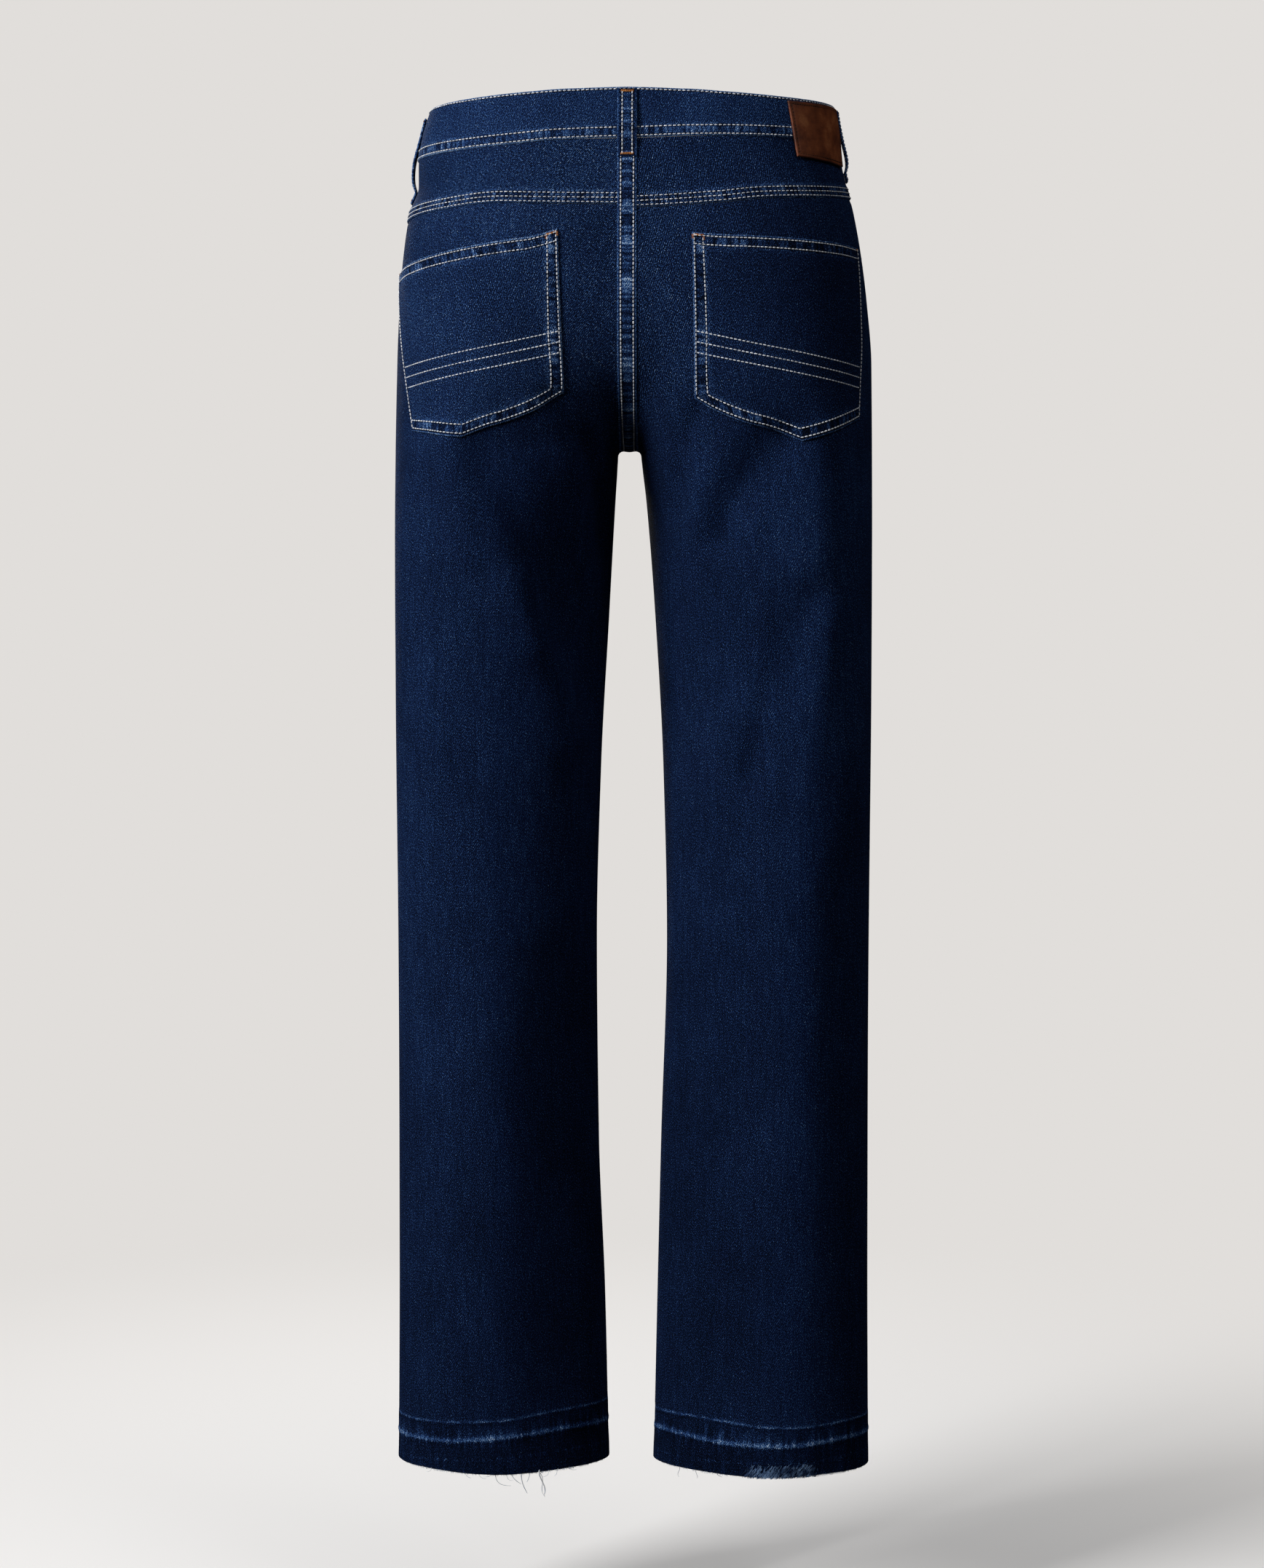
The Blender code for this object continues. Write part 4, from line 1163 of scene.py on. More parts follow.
# The cloth swells between the two rows of stitches, and a little over all that is above them.
between = (above_foot - BAND_ROWS[0]) / (BAND_ROWS[1] - BAND_ROWS[0])
swell = 0.35 * MM * np.sin(np.pi * np.clip(between, 0, 1))
swell = swell + 0.3 * MM * np.sin(np.pi * np.clip((above_foot - 8 * MM) / (28 * MM), 0, 1))
lift = BAND_OUTSIDE - 1.0 * MM * (1 - rounded(edge, 1.2 * MM)) + swell
outer = band_surface(share, lift)
inner = band_surface(share, BAND_INSIDE + 0.8 * MM * (1 - rounded(edge, 1.2 * MM)))


def with_ends(values):
    """Values at the stations, repeated at the columns that lengthen each end."""
    return np.pad(values, ((0, 0), (LAP_COLUMNS, LAP_COLUMNS)), mode="edge")


chart = flat_chart(outer, BACK, RIGHT, 8.0)
strength = np.where(above_foot < below_top, 1.0, 0.0)
marks = {"seam": marked(with_ends(edge), chart[..., 0], with_ends(strength))}
cloth_wall("waistband_cloth", drawn_in(outer), drawn_in(inner), [band_denim] * 3, chart, marks,
           "waistband")

# %% [markdown]
# ## Behind the front openings
#
# Two pieces show only through openings: the facing inside each scooped front pocket, and the
# guard behind the closed fly. They are plain walls set back behind the fronts.

# %% Pocket facings and fly guard
FACING_ACROSS = 0.38
FACING_BELOW_SCOOP = 12 * MM
FACING_BEHIND = 0.7 * MM
FLY_HALF_WIDTH = 20 * MM
FLY_TOP, FLY_BOTTOM = -36 * MM, -135 * MM
FLY_DEPTH = 2.8 * MM


def make_facing(side):
    """The cloth behind one scooped opening, from the band to a little below the scoop."""
    across = spaced(0, FACING_ACROSS, FACING_ACROSS / 36, close=(0.003,))
    top = seam("band", across, FRONT, side)
    foot = scoop(across * SCOOP_ACROSS / FACING_ACROSS, side) - FACING_BELOW_SCOOP
    level = mix(top, foot, np.linspace(0, 1, 32)[:, None])
    outside = -CLOTH - FACING_BEHIND
    outer = skin(across, level, FRONT, side, outside)
    inner = skin(across, level, FRONT, side, outside - CLOTH)
    chart = flat_chart(outer, FRONT, side, 10.0 * side)
    node = f"front_pocket_facing_{SIDE_NAME[side]}"
    cloth_wall(node + "_cloth", drawn_in(outer), drawn_in(inner),
               [plain_denim, reverse_denim, edge_denim], chart, None, node)


for side in SIDES:
    make_facing(side)

# The guard follows the centre front line, moved back and spread to both sides.
level = np.linspace(FLY_TOP, FLY_BOTTOM, 40)
grid = np.repeat(skin(np.ones(40), level, FRONT, LEFT)[:, None], 16, axis=1)
grid[..., 0] = np.linspace(-FLY_HALF_WIDTH, FLY_HALF_WIDTH, 16)
outer = grid + np.array([0, FLY_DEPTH, 0])
inner = grid + np.array([0, FLY_DEPTH + CLOTH, 0])
cloth_wall("fly_guard_cloth", outer, inner, [plain_denim, reverse_denim, edge_denim],
           flat_chart(outer, FRONT, RIGHT, 13.0), None, "fly_guard")

# %% [markdown]
# ## The felled seam at the centre back
#
# The two backs are joined by a felled seam: both edges are folded into each other and sewn flat
# with two rows. It reads as a strip 15 mm wide from the waistband to the crotch, soft on the
# left and sharp on the right, where its fold casts a thin shadow.

# %% Centre back seam
SEAM_HALF = 7.5 * MM
SEAM_ROWS = (4.9 * MM, -4.9 * MM)


def centre_line(count):
    """Levels down the centre back, evenly spaced along the curve of the seat."""
    level = np.linspace(-11.5 * MM, CROTCH_LEVEL + 0.4 * MM, 1500)
    point = section(1.0, level, BACK, LEFT)
    along = np.concatenate([[0], np.cumsum(np.linalg.norm(np.diff(point, axis=0), axis=-1))])
    return np.interp(np.linspace(0, along[-1], count), along, level), along[-1]


def centre_surface(x, level, lift):
    """Points at a distance x from the middle plane, over both backs and yokes. Within 4 mm of
    that plane a lift is turned into it, so that both halves meet smoothly."""
    x, level = np.broadcast_arrays(x, level)
    both = []
    for side in SIDES:
        across = across_at(np.abs(x), level, BACK, side)
        foot = skin(across, level, BACK, side)
        raised = skin(across, level, BACK, side, lift) - foot
        raised[..., 0] *= ease(np.abs(x) / (4 * MM))
        both.append(foot + raised)
    return np.where(x[..., None] >= 0, both[0], both[1])


def yoke_step(level):
    """How far the yokes' doubled edges lift the seam that crosses them."""
    return YOKE_PROUD * ease((level + 66 * MM) / (3 * MM)) * ease((-48 * MM - level) / (3 * MM))


seam_level, seam_length = centre_line(110)
x = spaced(SEAM_HALF, -SEAM_HALF, 1.1 * MM, close=(0.25 * MM, 0.6 * MM))
seam_edge = SEAM_HALF - np.abs(x)
# The +x edge melts into the cloth, the other is a fold that stands up.
soft = np.where(x > 0, rounded(seam_edge, 3 * MM), rounded(seam_edge, 0.8 * MM))
swell = 0.35 * MM * np.cos(np.pi * np.clip(x / (9.2 * MM), -0.5, 0.5))
step = yoke_step(seam_level)[:, None]
outer = centre_surface(x, seam_level[:, None], 0.25 * MM + step + 0.85 * MM * soft + swell)
inner = centre_surface(x, seam_level[:, None], 0.12 * MM + step)
along = np.linspace(0, seam_length, 110)[:, None]
chart = np.stack(np.broadcast_arrays(-x + 15.0, -along), axis=-1)
marks = {"seam": marked(seam_edge[None, :], along, 1.0)}
cloth_wall("centre_back_seam", outer, inner, [strip_denim] * 3, chart, marks)

# %% [markdown]
# ## The back pockets
#
# A patch pocket is one five-sided piece with its edges turned in, sewn down on three sides. It is
# a surface of two shares: one from the outer to the inner side, one from the mouth to the
# foot, where the tip makes two slanted edges. It follows the seat, with the mouth a little
# fuller than the rest because nothing holds it down there.

# %% Pocket surfaces
POCKET_CLOTH = 1.4 * MM
# The foot slants, so the way square to it is this much of the way straight down.
FOOT_SLANT = 0.94
# Painted shade on each pocket, deepest towards its outer side, and much deeper on the right one,
# which faces away from the key light.
POCKET_PAINTED_SHADE = {LEFT: -0.01, RIGHT: -0.095}
# Corners: mouth outer and inner, foot inner, tip, foot outer; share across and level.
POCKETS = {
    LEFT: np.array([(0.050, -0.1090), (0.631, -0.0805), (0.681, -0.2047),
                    (0.431, -0.2379), (0.248, -0.2335)]),
    RIGHT: np.array([(0.104, -0.0907), (0.659, -0.0831), (0.657, -0.2091),
                     (0.411, -0.2415), (0.198, -0.2242)]),
}


def pocket_place(u, v, side):
    """Share across and level on the back panel. u runs from the outer to the inner side, v
    from the mouth to the foot. The top line is mixed by u from corner to corner, the bottom
    line goes by way of the tip, and v mixes the two. The inner side is then made straight."""
    u, v = np.broadcast_arrays(np.asarray(u, float), np.asarray(v, float))
    mouth_outer, mouth_inner, foot_inner, tip, foot_outer = POCKETS[side]
    at_tip = (tip[0] - foot_outer[0]) / (foot_inner[0] - foot_outer[0])
    top = mix(mouth_outer, mouth_inner, u[..., None])
    first = mix(foot_outer, tip, np.clip(u / at_tip, 0, 1)[..., None])
    second = mix(tip, foot_inner, np.clip((u - at_tip) / (1 - at_tip), 0, 1)[..., None])
    bottom = np.where((u < at_tip)[..., None], first, second)
    place = mix(top, bottom, v[..., None])
    ends = np.array([mouth_inner, foot_inner])
    x = np.abs(section(ends[:, 0], ends[:, 1], BACK, side)[:, 0])
    straight = across_at(mix(x[0], x[1], v), mix(ends[0, 1], ends[1, 1], v), BACK, side)
    across = place[..., 0] + u * (straight - mix(ends[0, 0], ends[1, 0], v))
    return across, place[..., 1]


def pocket_surface(u, v, side, lift):
    """Points of the pocket at a distance outside the back panel."""
    return skin(*pocket_place(u, v, side), BACK, side, lift)


def pocket_sizes(side):
    """Lengths in metres, down the pocket for shares u and across it for shares v, and the part
    of the way across that each share reaches, since even shares aren't even steps."""
    share = np.linspace(0, 1, 81)
    grid = pocket_surface(share[None, :], share[:, None], side, 0.0)
    down = np.linalg.norm(np.diff(grid, axis=0), axis=-1).sum(axis=0)
    steps = np.linalg.norm(np.diff(grid, axis=1), axis=-1)
    reached = np.concatenate([[0], np.cumsum(steps.mean(axis=0))])
    return share, down, steps.sum(axis=1), reached / reached[-1]


def pocket_distances(u, v, side):
    """Distances to the mouth, foot, outer and inner edges for shares u and v."""
    share, down, across, reached = pocket_sizes(side)
    long = np.interp(u, share, down)
    wide = np.interp(v, share, across)
    out = np.interp(u, share, reached)
    return v * long, (1 - v) * long * FOOT_SLANT, out * wide, (1 - out) * wide


def pocket_form(u, v, side):
    """How far the pocket's outer and inner faces stand off the panel: round at the edges,
    swelling between two rows of stitches, and fuller in the middle and at the open mouth."""
    mouth, foot, outer_side, inner_side = pocket_distances(u, v, side)
    sewn = np.minimum(np.minimum(outer_side, inner_side), foot)
    edge = np.minimum(sewn, mouth)
    doubled = np.minimum(np.minimum(mouth, foot), inner_side)
    swell = 0.3 * MM * np.sin(np.pi * np.clip((doubled - 2.3 * MM) / (6.9 * MM), 0, 1))
    swell = swell * ease((outer_side - 2.3 * MM) / (3 * MM))
    middle = ease((sewn - 9 * MM) / (30 * MM))
    bulge = 0.9 * MM * middle + 0.5 * MM * middle * ease((30 * MM - mouth) / (30 * MM))
    top = ON_TOP + POCKET_CLOTH - 1.1 * MM * (1 - rounded(edge, 1.1 * MM)) + swell + bulge
    return top, ON_TOP + 0.6 * bulge


def make_pocket(side):
    """One pocket, with a column of points on its tip and closer ones at its edges."""
    _, _, foot_inner, tip, foot_outer = POCKETS[side][:, 0]
    at_tip = (tip - foot_outer) / (foot_inner - foot_outer)
    columns = 60
    tip_column = int(round(at_tip * columns))
    close = (0.002, 0.005, 0.009, 0.014)
    u = np.concatenate([
        spaced(0, at_tip, at_tip / tip_column, close)[:-4],
        [at_tip],
        spaced(at_tip, 1, (1 - at_tip) / (columns - tip_column), close)[5:],
    ])
    v = spaced(0, 1, 1 / 64, close)[:, None]
    mouth, foot, outer_side, inner_side = np.broadcast_arrays(*pocket_distances(u, v, side))
    top, under = pocket_form(u, v, side)
    outer = pocket_surface(u, v, side, top)
    inner = pocket_surface(u, v, side, under)
    chart = flat_chart(outer, BACK, side, 18.0 + 2.0 * side)
    # The inner side's rows lie further in, so its distances are drawn closer for the wear.
    distances = np.stack([mouth, foot, outer_side, inner_side * 0.89])
    nearest = distances.argmin(axis=0)
    along = np.where(nearest < 2, chart[..., 0], chart[..., 1] + 3.0)
    # The first number of the second mark is painted shade, darker towards the outer side.
    marks = {"seam": marked(distances.min(axis=0), along, np.where(nearest == 2, 0.0, 1.0)),
             "wash_and_painted_shade": marked(POCKET_PAINTED_SHADE[side] * (1.4 - 0.8 * u), crispness(outer), 0)}
    node = f"back_pocket_{SIDE_NAME[side]}"
    cloth_wall(node + "_cloth", outer, inner, [pocket_denim, reverse_denim, pocket_denim],
               chart, marks, node)


for side in SIDES:
    make_pocket(side)

# %% [markdown]
# ## Belt loops
#
# A belt loop is a narrow strip folded double and sewn down at both ends, with room for a belt
# behind it. Its centre line follows the jeans at a distance that rises from each end as a sine,
# and a flat section with round edges is carried along it.

# %% Belt loops
LOOP_WIDTH = 15 * MM
LOOP_CLOTH = 1.8 * MM
LOOP_SEWN_SHARE = 0.14
LOOP_ROWS = (-3.8 * MM, 3.8 * MM)
# Name: half, side, share across, levels of the top and the foot, how far it stands off, and
# the power that says where.
BELT_LOOPS = {
    "belt_loop_centre": (BACK, LEFT, 1.0, 26.5 * MM, -25.5 * MM, 1.3 * MM, 1.0),
    "belt_loop_side_left": (BACK, LEFT, 0.0, 13.0 * MM, -54.0 * MM, 2.6 * MM, 2.8),
    "belt_loop_side_right": (BACK, RIGHT, 0.0, 19.0 * MM, -37.0 * MM, 2.4 * MM, 3.0),
    "belt_loop_front_left": (FRONT, LEFT, 0.4, 8.5 * MM, -46.0 * MM, 2.2 * MM, 1.0),
    "belt_loop_front_right": (FRONT, RIGHT, 0.4, 8.5 * MM, -46.0 * MM, 1.8 * MM, 1.1),
}


def loop_surface(node, share, reach, lift):
    """Points for shares down the loop and reaches sideways from its centre line. It stands off
    by its own distance times the sine of pi times the free share to its own power: above 1 it
    hugs the band at the top and stands off near the foot."""
    half, side, across, top, foot, stand, power = BELT_LOOPS[node]
    across = np.full(len(share), across)
    level = mix(top, foot, share)
    seat = mix(BAND_OUTSIDE + ON_TOP, ON_TOP, ease((share - 0.55) / 0.35))
    free = np.clip((share - LOOP_SEWN_SHARE) / (1 - 2 * LOOP_SEWN_SHARE), 0, 1)
    under = seat + stand * np.sin(np.pi * free**power) ** 0.8
    line = skin(across, level, half, side)
    normal = skin(across, level, half, side, 1.0) - line
    sideways = np.cross(normal, (0, 0, 1))
    sideways /= np.linalg.norm(sideways, axis=-1, keepdims=True)
    out = (under[:, None] + lift)[..., None]
    return line[:, None] + reach[:, None] * sideways[:, None] + normal[:, None] * out


def make_loop(node, number):
    """One belt loop: a flat section with round edges on its centre line."""
    top, foot = BELT_LOOPS[node][3:5]
    share = spaced(0, 1, 1 / 44, close=(0.006, 0.015, 0.03))
    reach = spaced(-LOOP_WIDTH / 2, LOOP_WIDTH / 2, 0.9 * MM, close=(0.2 * MM, 0.5 * MM))
    edge = LOOP_WIDTH / 2 - np.abs(reach)
    end = np.minimum(share, 1 - share) * (top - foot)
    swell = 0.25 * MM * np.cos(np.pi * np.clip(reach / (7.6 * MM), -0.5, 0.5))
    round_edge = rounded(edge, 0.9 * MM)[None, :] * rounded(end, 1.0 * MM)[:, None]
    outer = loop_surface(node, share, reach, LOOP_CLOTH * (0.5 + 0.5 * round_edge) + swell)
    inner = loop_surface(node, share, reach, LOOP_CLOTH * 0.5 * (1 - round_edge))
    along = (share * (top - foot))[:, None]
    chart = np.stack(np.broadcast_arrays(reach + 30 + number, -along), axis=-1)
    marks = {"seam": marked(np.minimum(edge[None, :], end[:, None] + 2 * MM), along, 1.0)}
    cloth_wall(node + "_cloth", outer, inner, [loop_denim] * 3, chart, marks, node)


for number, node in enumerate(BELT_LOOPS):
    make_loop(node, number)

# %% [markdown]
# ## The leather patch
#
# A cut of brown cowhide, 1.5 mm thick, is sewn to the right of the back waistband. It is left bare,
# with only a pressed border line. Vegetable tanned hide darkens where it is handled, has a fine
# pebbled grain and a low gloss, and its cut edge is paler.

# %% Leather
def make_leather():
    """Full grain cowhide: brown with clouds, cells of grain 0.6 mm across drawn at 1.1 mm,
    and a satin surface."""
    material, tree = new_material("vegetable tanned cowhide")
    place = add(tree, "UVMap", uv_map="cloth")
    cells = add(tree, "TexVoronoi", {"Vector": place, "Scale": 900.0}, out="Distance")
    clouds = add(tree, "TexNoise", {"Vector": place, "Scale": 70.0, "Detail": 5.0,
                                    "Roughness": 0.6})
    scratches = noise_at(tree, place, (60, 900))
    away = mark_of(tree, "seam")[0]
    handled = add(tree, "MapRange", {"Value": away, "From Min": 0.0, "From Max": 7 * MM,
                                     "To Min": -0.16, "To Max": 0.0})
    shade = add(tree, "Math", {0: scratches, 1: 0.12, 2: total(tree, clouds, handled)},
                operation="MULTIPLY_ADD")
    tint = add(tree, "ValToRGB", {"Fac": shade}, stops=(
        (0.20, colour("#3a1a0d")), (0.42, colour("#5f2c14")),
        (0.60, colour("#7b3f1f")), (0.85, colour("#a0633a")),
    ))
    relief = add(tree, "Math", {0: cells, 1: 0.7, 2: clouds}, operation="MULTIPLY_ADD")
    bump = add(tree, "Bump", {"Height": relief, "Strength": 0.5, "Distance": 0.2 * MM})
    show(tree, add(tree, "BsdfPrincipled", {"Base Color": tint, "Normal": bump,
                                            "Roughness": 0.52, "Specular IOR Level": 0.3}))
    return material


leather = make_leather()
# Corners as a share across and a level: top outer and inner, foot inner and outer.
PATCH = np.array([(0.047, 0.0186), (0.269, 0.0193), (0.271, -0.0235), (0.076, -0.0270)])
PATCH_LIFT = BAND_OUTSIDE + ON_TOP
PATCH_LEATHER = 1.5 * MM
PATCH_ROW = 2.4 * MM


def patch_surface(u, v, lift):
    """u from the outer to the inner side and v from the top down, mixed between the corners."""
    u, v = np.broadcast_arrays(np.asarray(u, float), np.asarray(v, float))
    top = mix(PATCH[0], PATCH[1], u[..., None])
    place = mix(top, mix(PATCH[3], PATCH[2], u[..., None]), v[..., None])
    return skin(place[..., 0], place[..., 1], BACK, RIGHT, lift)


u = spaced(0, 1, 1 / 60, close=(0.004, 0.010))
v = spaced(0, 1, 1 / 44, close=(0.006, 0.015))[:, None]
flat = patch_surface(u, v, 0.0)
wide = np.linalg.norm(np.diff(flat, axis=1), axis=-1).sum(axis=1)[:, None]
long = np.linalg.norm(np.diff(flat, axis=0), axis=-1).sum(axis=0)
edge = np.minimum(np.minimum(u, 1 - u) * wide, np.minimum(v, 1 - v) * long)
border = 0.28 * MM * np.exp(-(((edge - PATCH_ROW) / (0.6 * MM)) ** 2))
lift = PATCH_LIFT + PATCH_LEATHER - 0.5 * MM * (1 - rounded(edge, 0.6 * MM)) - border
outer = patch_surface(u, v, lift + 0.2 * MM * np.sin(6 * u + 3 * v))
inner = patch_surface(u, v, PATCH_LIFT)
chart = flat_chart(outer, BACK, RIGHT, 40.0)
cloth_wall("leather_patch_hide", outer, inner, [leather] * 3, chart,
           {"seam": marked(edge, chart[..., 0], 1.0)}, "leather_patch")

# %% [markdown]
# ## The button
#
# A jeans button is a brass cap pressed over a shank: a raised rim, a dished ring and a low dome.
# It is one profile, radius and height, turned about the button's own axis. The closed
# profile starts and ends on the axis.

# %% Brass button
brass, tree = new_material("antique copper plated brass")
place = add(tree, "TexCoord", out="Object")
tarnish = add(tree, "TexNoise", {"Vector": place, "Scale": 420.0, "Detail": 4.0})
tint = add(tree, "ValToRGB", {"Fac": tarnish},
           stops=((0.35, colour("#5e3c22")), (0.6, colour("#b07a49"))))
gloss = add(tree, "MapRange", {"Value": tarnish, "To Min": 0.5, "To Max": 0.25})
show(tree, add(tree, "BsdfPrincipled", {"Base Color": tint, "Metallic": 1.0, "Roughness": gloss}))

ends = skin(np.ones(2), np.array([seam(n, 1.0, FRONT, LEFT) for n in ("band", "top")]),
            FRONT, LEFT, BAND_OUTSIDE)
ends[:, 1] -= BAND_RAISED
rise = (ends[1] - ends[0]) / np.linalg.norm(ends[1] - ends[0])
out = np.array([0, -rise[2], rise[1]])
centre = ends.mean(axis=0) + out * ON_TOP
# Radius and height in millimetres, from the middle of the back, over the rim, to the dome.
BUTTON_PROFILE = np.array([
    (0.01, 0), (6.5, 0), (7.7, 0.1), (8.3, 0.6), (8.5, 1.3), (8.3, 2.0), (7.7, 2.45), (7.0, 2.5),
    (6.5, 2.3), (6.2, 1.9), (5.6, 1.75), (5.2, 1.9), (4.6, 2.15), (3.4, 2.3), (1.8, 2.4),
    (0.01, 2.43),
]) * MM
SPOKES = 64
radius, height = BUTTON_PROFILE.T[..., None, None]
turn = np.linspace(0, 2 * np.pi, SPOKES + 1)[:-1, None]
spoke = np.cos(turn) * np.array([1, 0, 0]) + np.sin(turn) * rise
points = centre + radius * spoke + height * out
index = np.arange(len(BUTTON_PROFILE) * SPOKES).reshape(-1, SPOKES)
beside = np.roll(index, -1, axis=1)
faces = np.stack([index[:-1], beside[:-1], beside[1:], index[1:]], axis=-1).reshape(-1, 4)
# Four-sided faces that fan out from one point close the tiny hole at either end.
cap = np.arange(SPOKES)
fans = np.stack([cap[0:-2:2] * 0, cap[1:-1:2], cap[2::2], np.roll(cap, -1)[2::2]], axis=-1)
faces = np.concatenate([faces, fans[:, ::-1], fans + index[-1, 0]])
points = points.reshape(-1, 3)
button = add_piece("waist_button_cap", points, facing_out(points, faces), [brass])
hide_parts("waist_button")
print("button:", len(faces), "faces")

# %% [markdown]
# ## Thread
#
# Topstitching on jeans is a thick spun thread. Every stitch is a short bar of thread that dives
# into the cloth at both ends, about three to a centimetre. Each is a six-sided tube of four
# rings, few enough faces that thousands of them stay light. The same function draws
# loose yarns, as longer tubes.

# %% Tubes and stitches
def make_thread(name, dark, light):
    """Spun polyester and cotton thread: matt, with lighter and darker stitches between two
    hex colours."""
    material, tree = new_material(name)
    place = add(tree, "TexCoord", out="Object")
    change = add(tree, "TexNoise", {"Vector": place, "Scale": 260.0, "Detail": 2.0})
    tint = add(tree, "ValToRGB", {"Fac": change},
               stops=((0.36, colour(dark)), (0.64, colour(light))))
    show(tree, add(tree, "BsdfPrincipled", {"Base Color": tint, "Roughness": 0.7,
                                            "Specular IOR Level": 0.25}))
    return material


pale_thread = make_thread("off-white topstitch thread", "#adb2bc", "#f0f2f8")
orange_thread = make_thread("orange bartack thread", "#8f4f22", "#d08a4a")
brown_thread = make_thread("dark brown thread", "#150b07", "#2a170e")


def tubes(name, lines, radius, up, material):
    """Closed six-sided tubes: each ring is its centre plus the radius times cos and sin along
    two directions square to the thread. Two four-sided faces close each end."""
    count, rings = lines.shape[:2]
    way = np.gradient(lines, axis=1)
    way /= np.linalg.norm(way, axis=-1, keepdims=True)
    sideways = np.cross(way, up[:, None])
    sideways /= np.linalg.norm(sideways, axis=-1, keepdims=True)
    rise = np.cross(sideways, way)
    turn = (np.arange(6) * np.pi / 3)[:, None]
    ring = np.cos(turn) * sideways[:, :, None] + np.sin(turn) * rise[:, :, None]
    points = lines[:, :, None] + np.broadcast_to(radius, (count, rings))[..., None, None] * ring
    index = np.arange(rings * 6).reshape(rings, 6)
    beside = np.roll(index, -1, axis=1)
    walls = np.stack([index[:-1], beside[:-1], beside[1:], index[1:]], axis=-1).reshape(-1, 4)
    first = np.array([[3, 2, 1, 0], [5, 4, 3, 0]])
    last = np.array([[0, 1, 2, 3], [0, 3, 4, 5]]) + index[-1, 0]
    one = np.concatenate([walls, first, last])
    faces = (one[None] + (np.arange(count) * rings * 6)[:, None, None]).reshape(-1, 4)
    points = points.reshape(-1, 3)
    return add_piece(name, points, facing_out(points, faces), [material])


STITCH_DEPTH = 0.30
STITCH_SHAPE = np.array([0.5, 1.0, 1.0, 0.5])
stitch_counts = []


def stitch_lines(row, pitch, length, rise, turn):
    """The centre lines of one row's stitches: four points each, at even steps along the row.
    turn lays a stitch at an angle to its row, as in a bartack."""
    points, normals = row
    along = np.concatenate([[0], np.cumsum(np.linalg.norm(np.diff(points, axis=0), axis=-1))])
    count = max(int(round(along[-1] / pitch)), 1)
    middle = (np.arange(count) + 0.5) * along[-1] / count

    def at(values, where):
        return np.stack([np.interp(where, along, values[:, i]) for i in range(3)], axis=-1)

    centre, normal = at(points, middle), at(normals, middle)
    way = at(points, middle + 0.3 * MM) - at(points, middle - 0.3 * MM)
    way /= np.linalg.norm(way, axis=-1, keepdims=True)
    way = np.cos(turn) * way + np.sin(turn) * np.cross(normal, way)
    reach = np.array([-0.5, -0.3, 0.3, 0.5]) * length
    height = np.array([-STITCH_DEPTH, rise, rise, -STITCH_DEPTH]) * MM
    lines = centre[:, None] + reach[:, None] * way[:, None] + height[:, None] * normal[:, None]
    return lines, normal


def stitches(name, rows, material, pitch=3.2 * MM, length=2.4 * MM, width=1.0 * MM,
             rise=0.12, turn=0.0):
    """All the stitches of several rows as one piece."""
    made = [stitch_lines(row, pitch, length, rise, turn) for row in rows]
    lines, normals = (np.concatenate(part) for part in zip(*made))
    stitch_counts.append(len(lines))
    print(f"{name}: {len(lines)} stitches")
    tubes(name, lines, STITCH_SHAPE * width / 2, normals, material)


def on_surface(surface, lift=0.0):
    """A row of points with its outward directions, from a function of the lift alone."""
    points = surface(lift)
    normals = surface(lift + 1 * MM) - points
    return points, normals / np.linalg.norm(normals, axis=-1, keepdims=True)


# %% [markdown]
# ## Where the stitches run
#
# The waistband has two rows along its lower fold and one just under its top. The yoke has three,
# the centre seam two, and each pocket one down its outer side and two along its other edges. Loop
# ends and pocket corners are held by bartacks, dense zigzags in orange. Across each pocket run
# three plain slanted rows.

# %% Rows of stitches
def band_row(height_above, from_top=False):
    """A row at a height above the waistband's lower edge, or below its top edge."""
    height = band_height()
    share = height_above / height if from_top else 1 - height_above / height
    return on_surface(lambda lift: band_surface(share[None, :], lift)[0], BAND_OUTSIDE)


stitches("waistband_stitches", [*map(band_row, BAND_ROWS), band_row(BAND_TOP_ROW, True)],
         pale_thread, pitch=3.5 * MM, length=2.6 * MM)


def yoke_row(side, height_above):
    """A row at a height above the yoke seam."""
    across = np.linspace(0.004, 0.965, 160)
    level = seam("yoke", across, BACK, side) + height_above
    return on_surface(lambda lift: skin(across, level, BACK, side, lift), YOKE_PROUD)


stitches("yoke_stitches", [yoke_row(side, row) for side in SIDES for row in YOKE_ROWS],
         pale_thread, pitch=3.7 * MM, length=2.6 * MM, width=0.85 * MM)


def centre_row(x):
    """A row down the centre back seam."""
    level = seam_level[2:-1]
    step = yoke_step(level)
    return on_surface(lambda lift: centre_surface(x, level, lift + step), 1.2 * MM)


stitches("centre_seam_stitches", [centre_row(x) for x in SEAM_ROWS], pale_thread)


def pocket_row(side, u, v):
    """A row through places on the pocket's outer face."""
    u, v = np.broadcast_arrays(u, v)
    top = pocket_form(u, v, side)[0]
    return on_surface(lambda lift: pocket_surface(u, v, side, top + lift))


# How far each row lies from the outer edge, the foot and the inner edge.
POCKET_GAPS = ((2.2 * MM, 2.9 * MM, 2.0 * MM), (2.2 * MM, 9.4 * MM, 10.4 * MM))
MOUTH_GAPS = (2.4 * MM, 9.0 * MM)


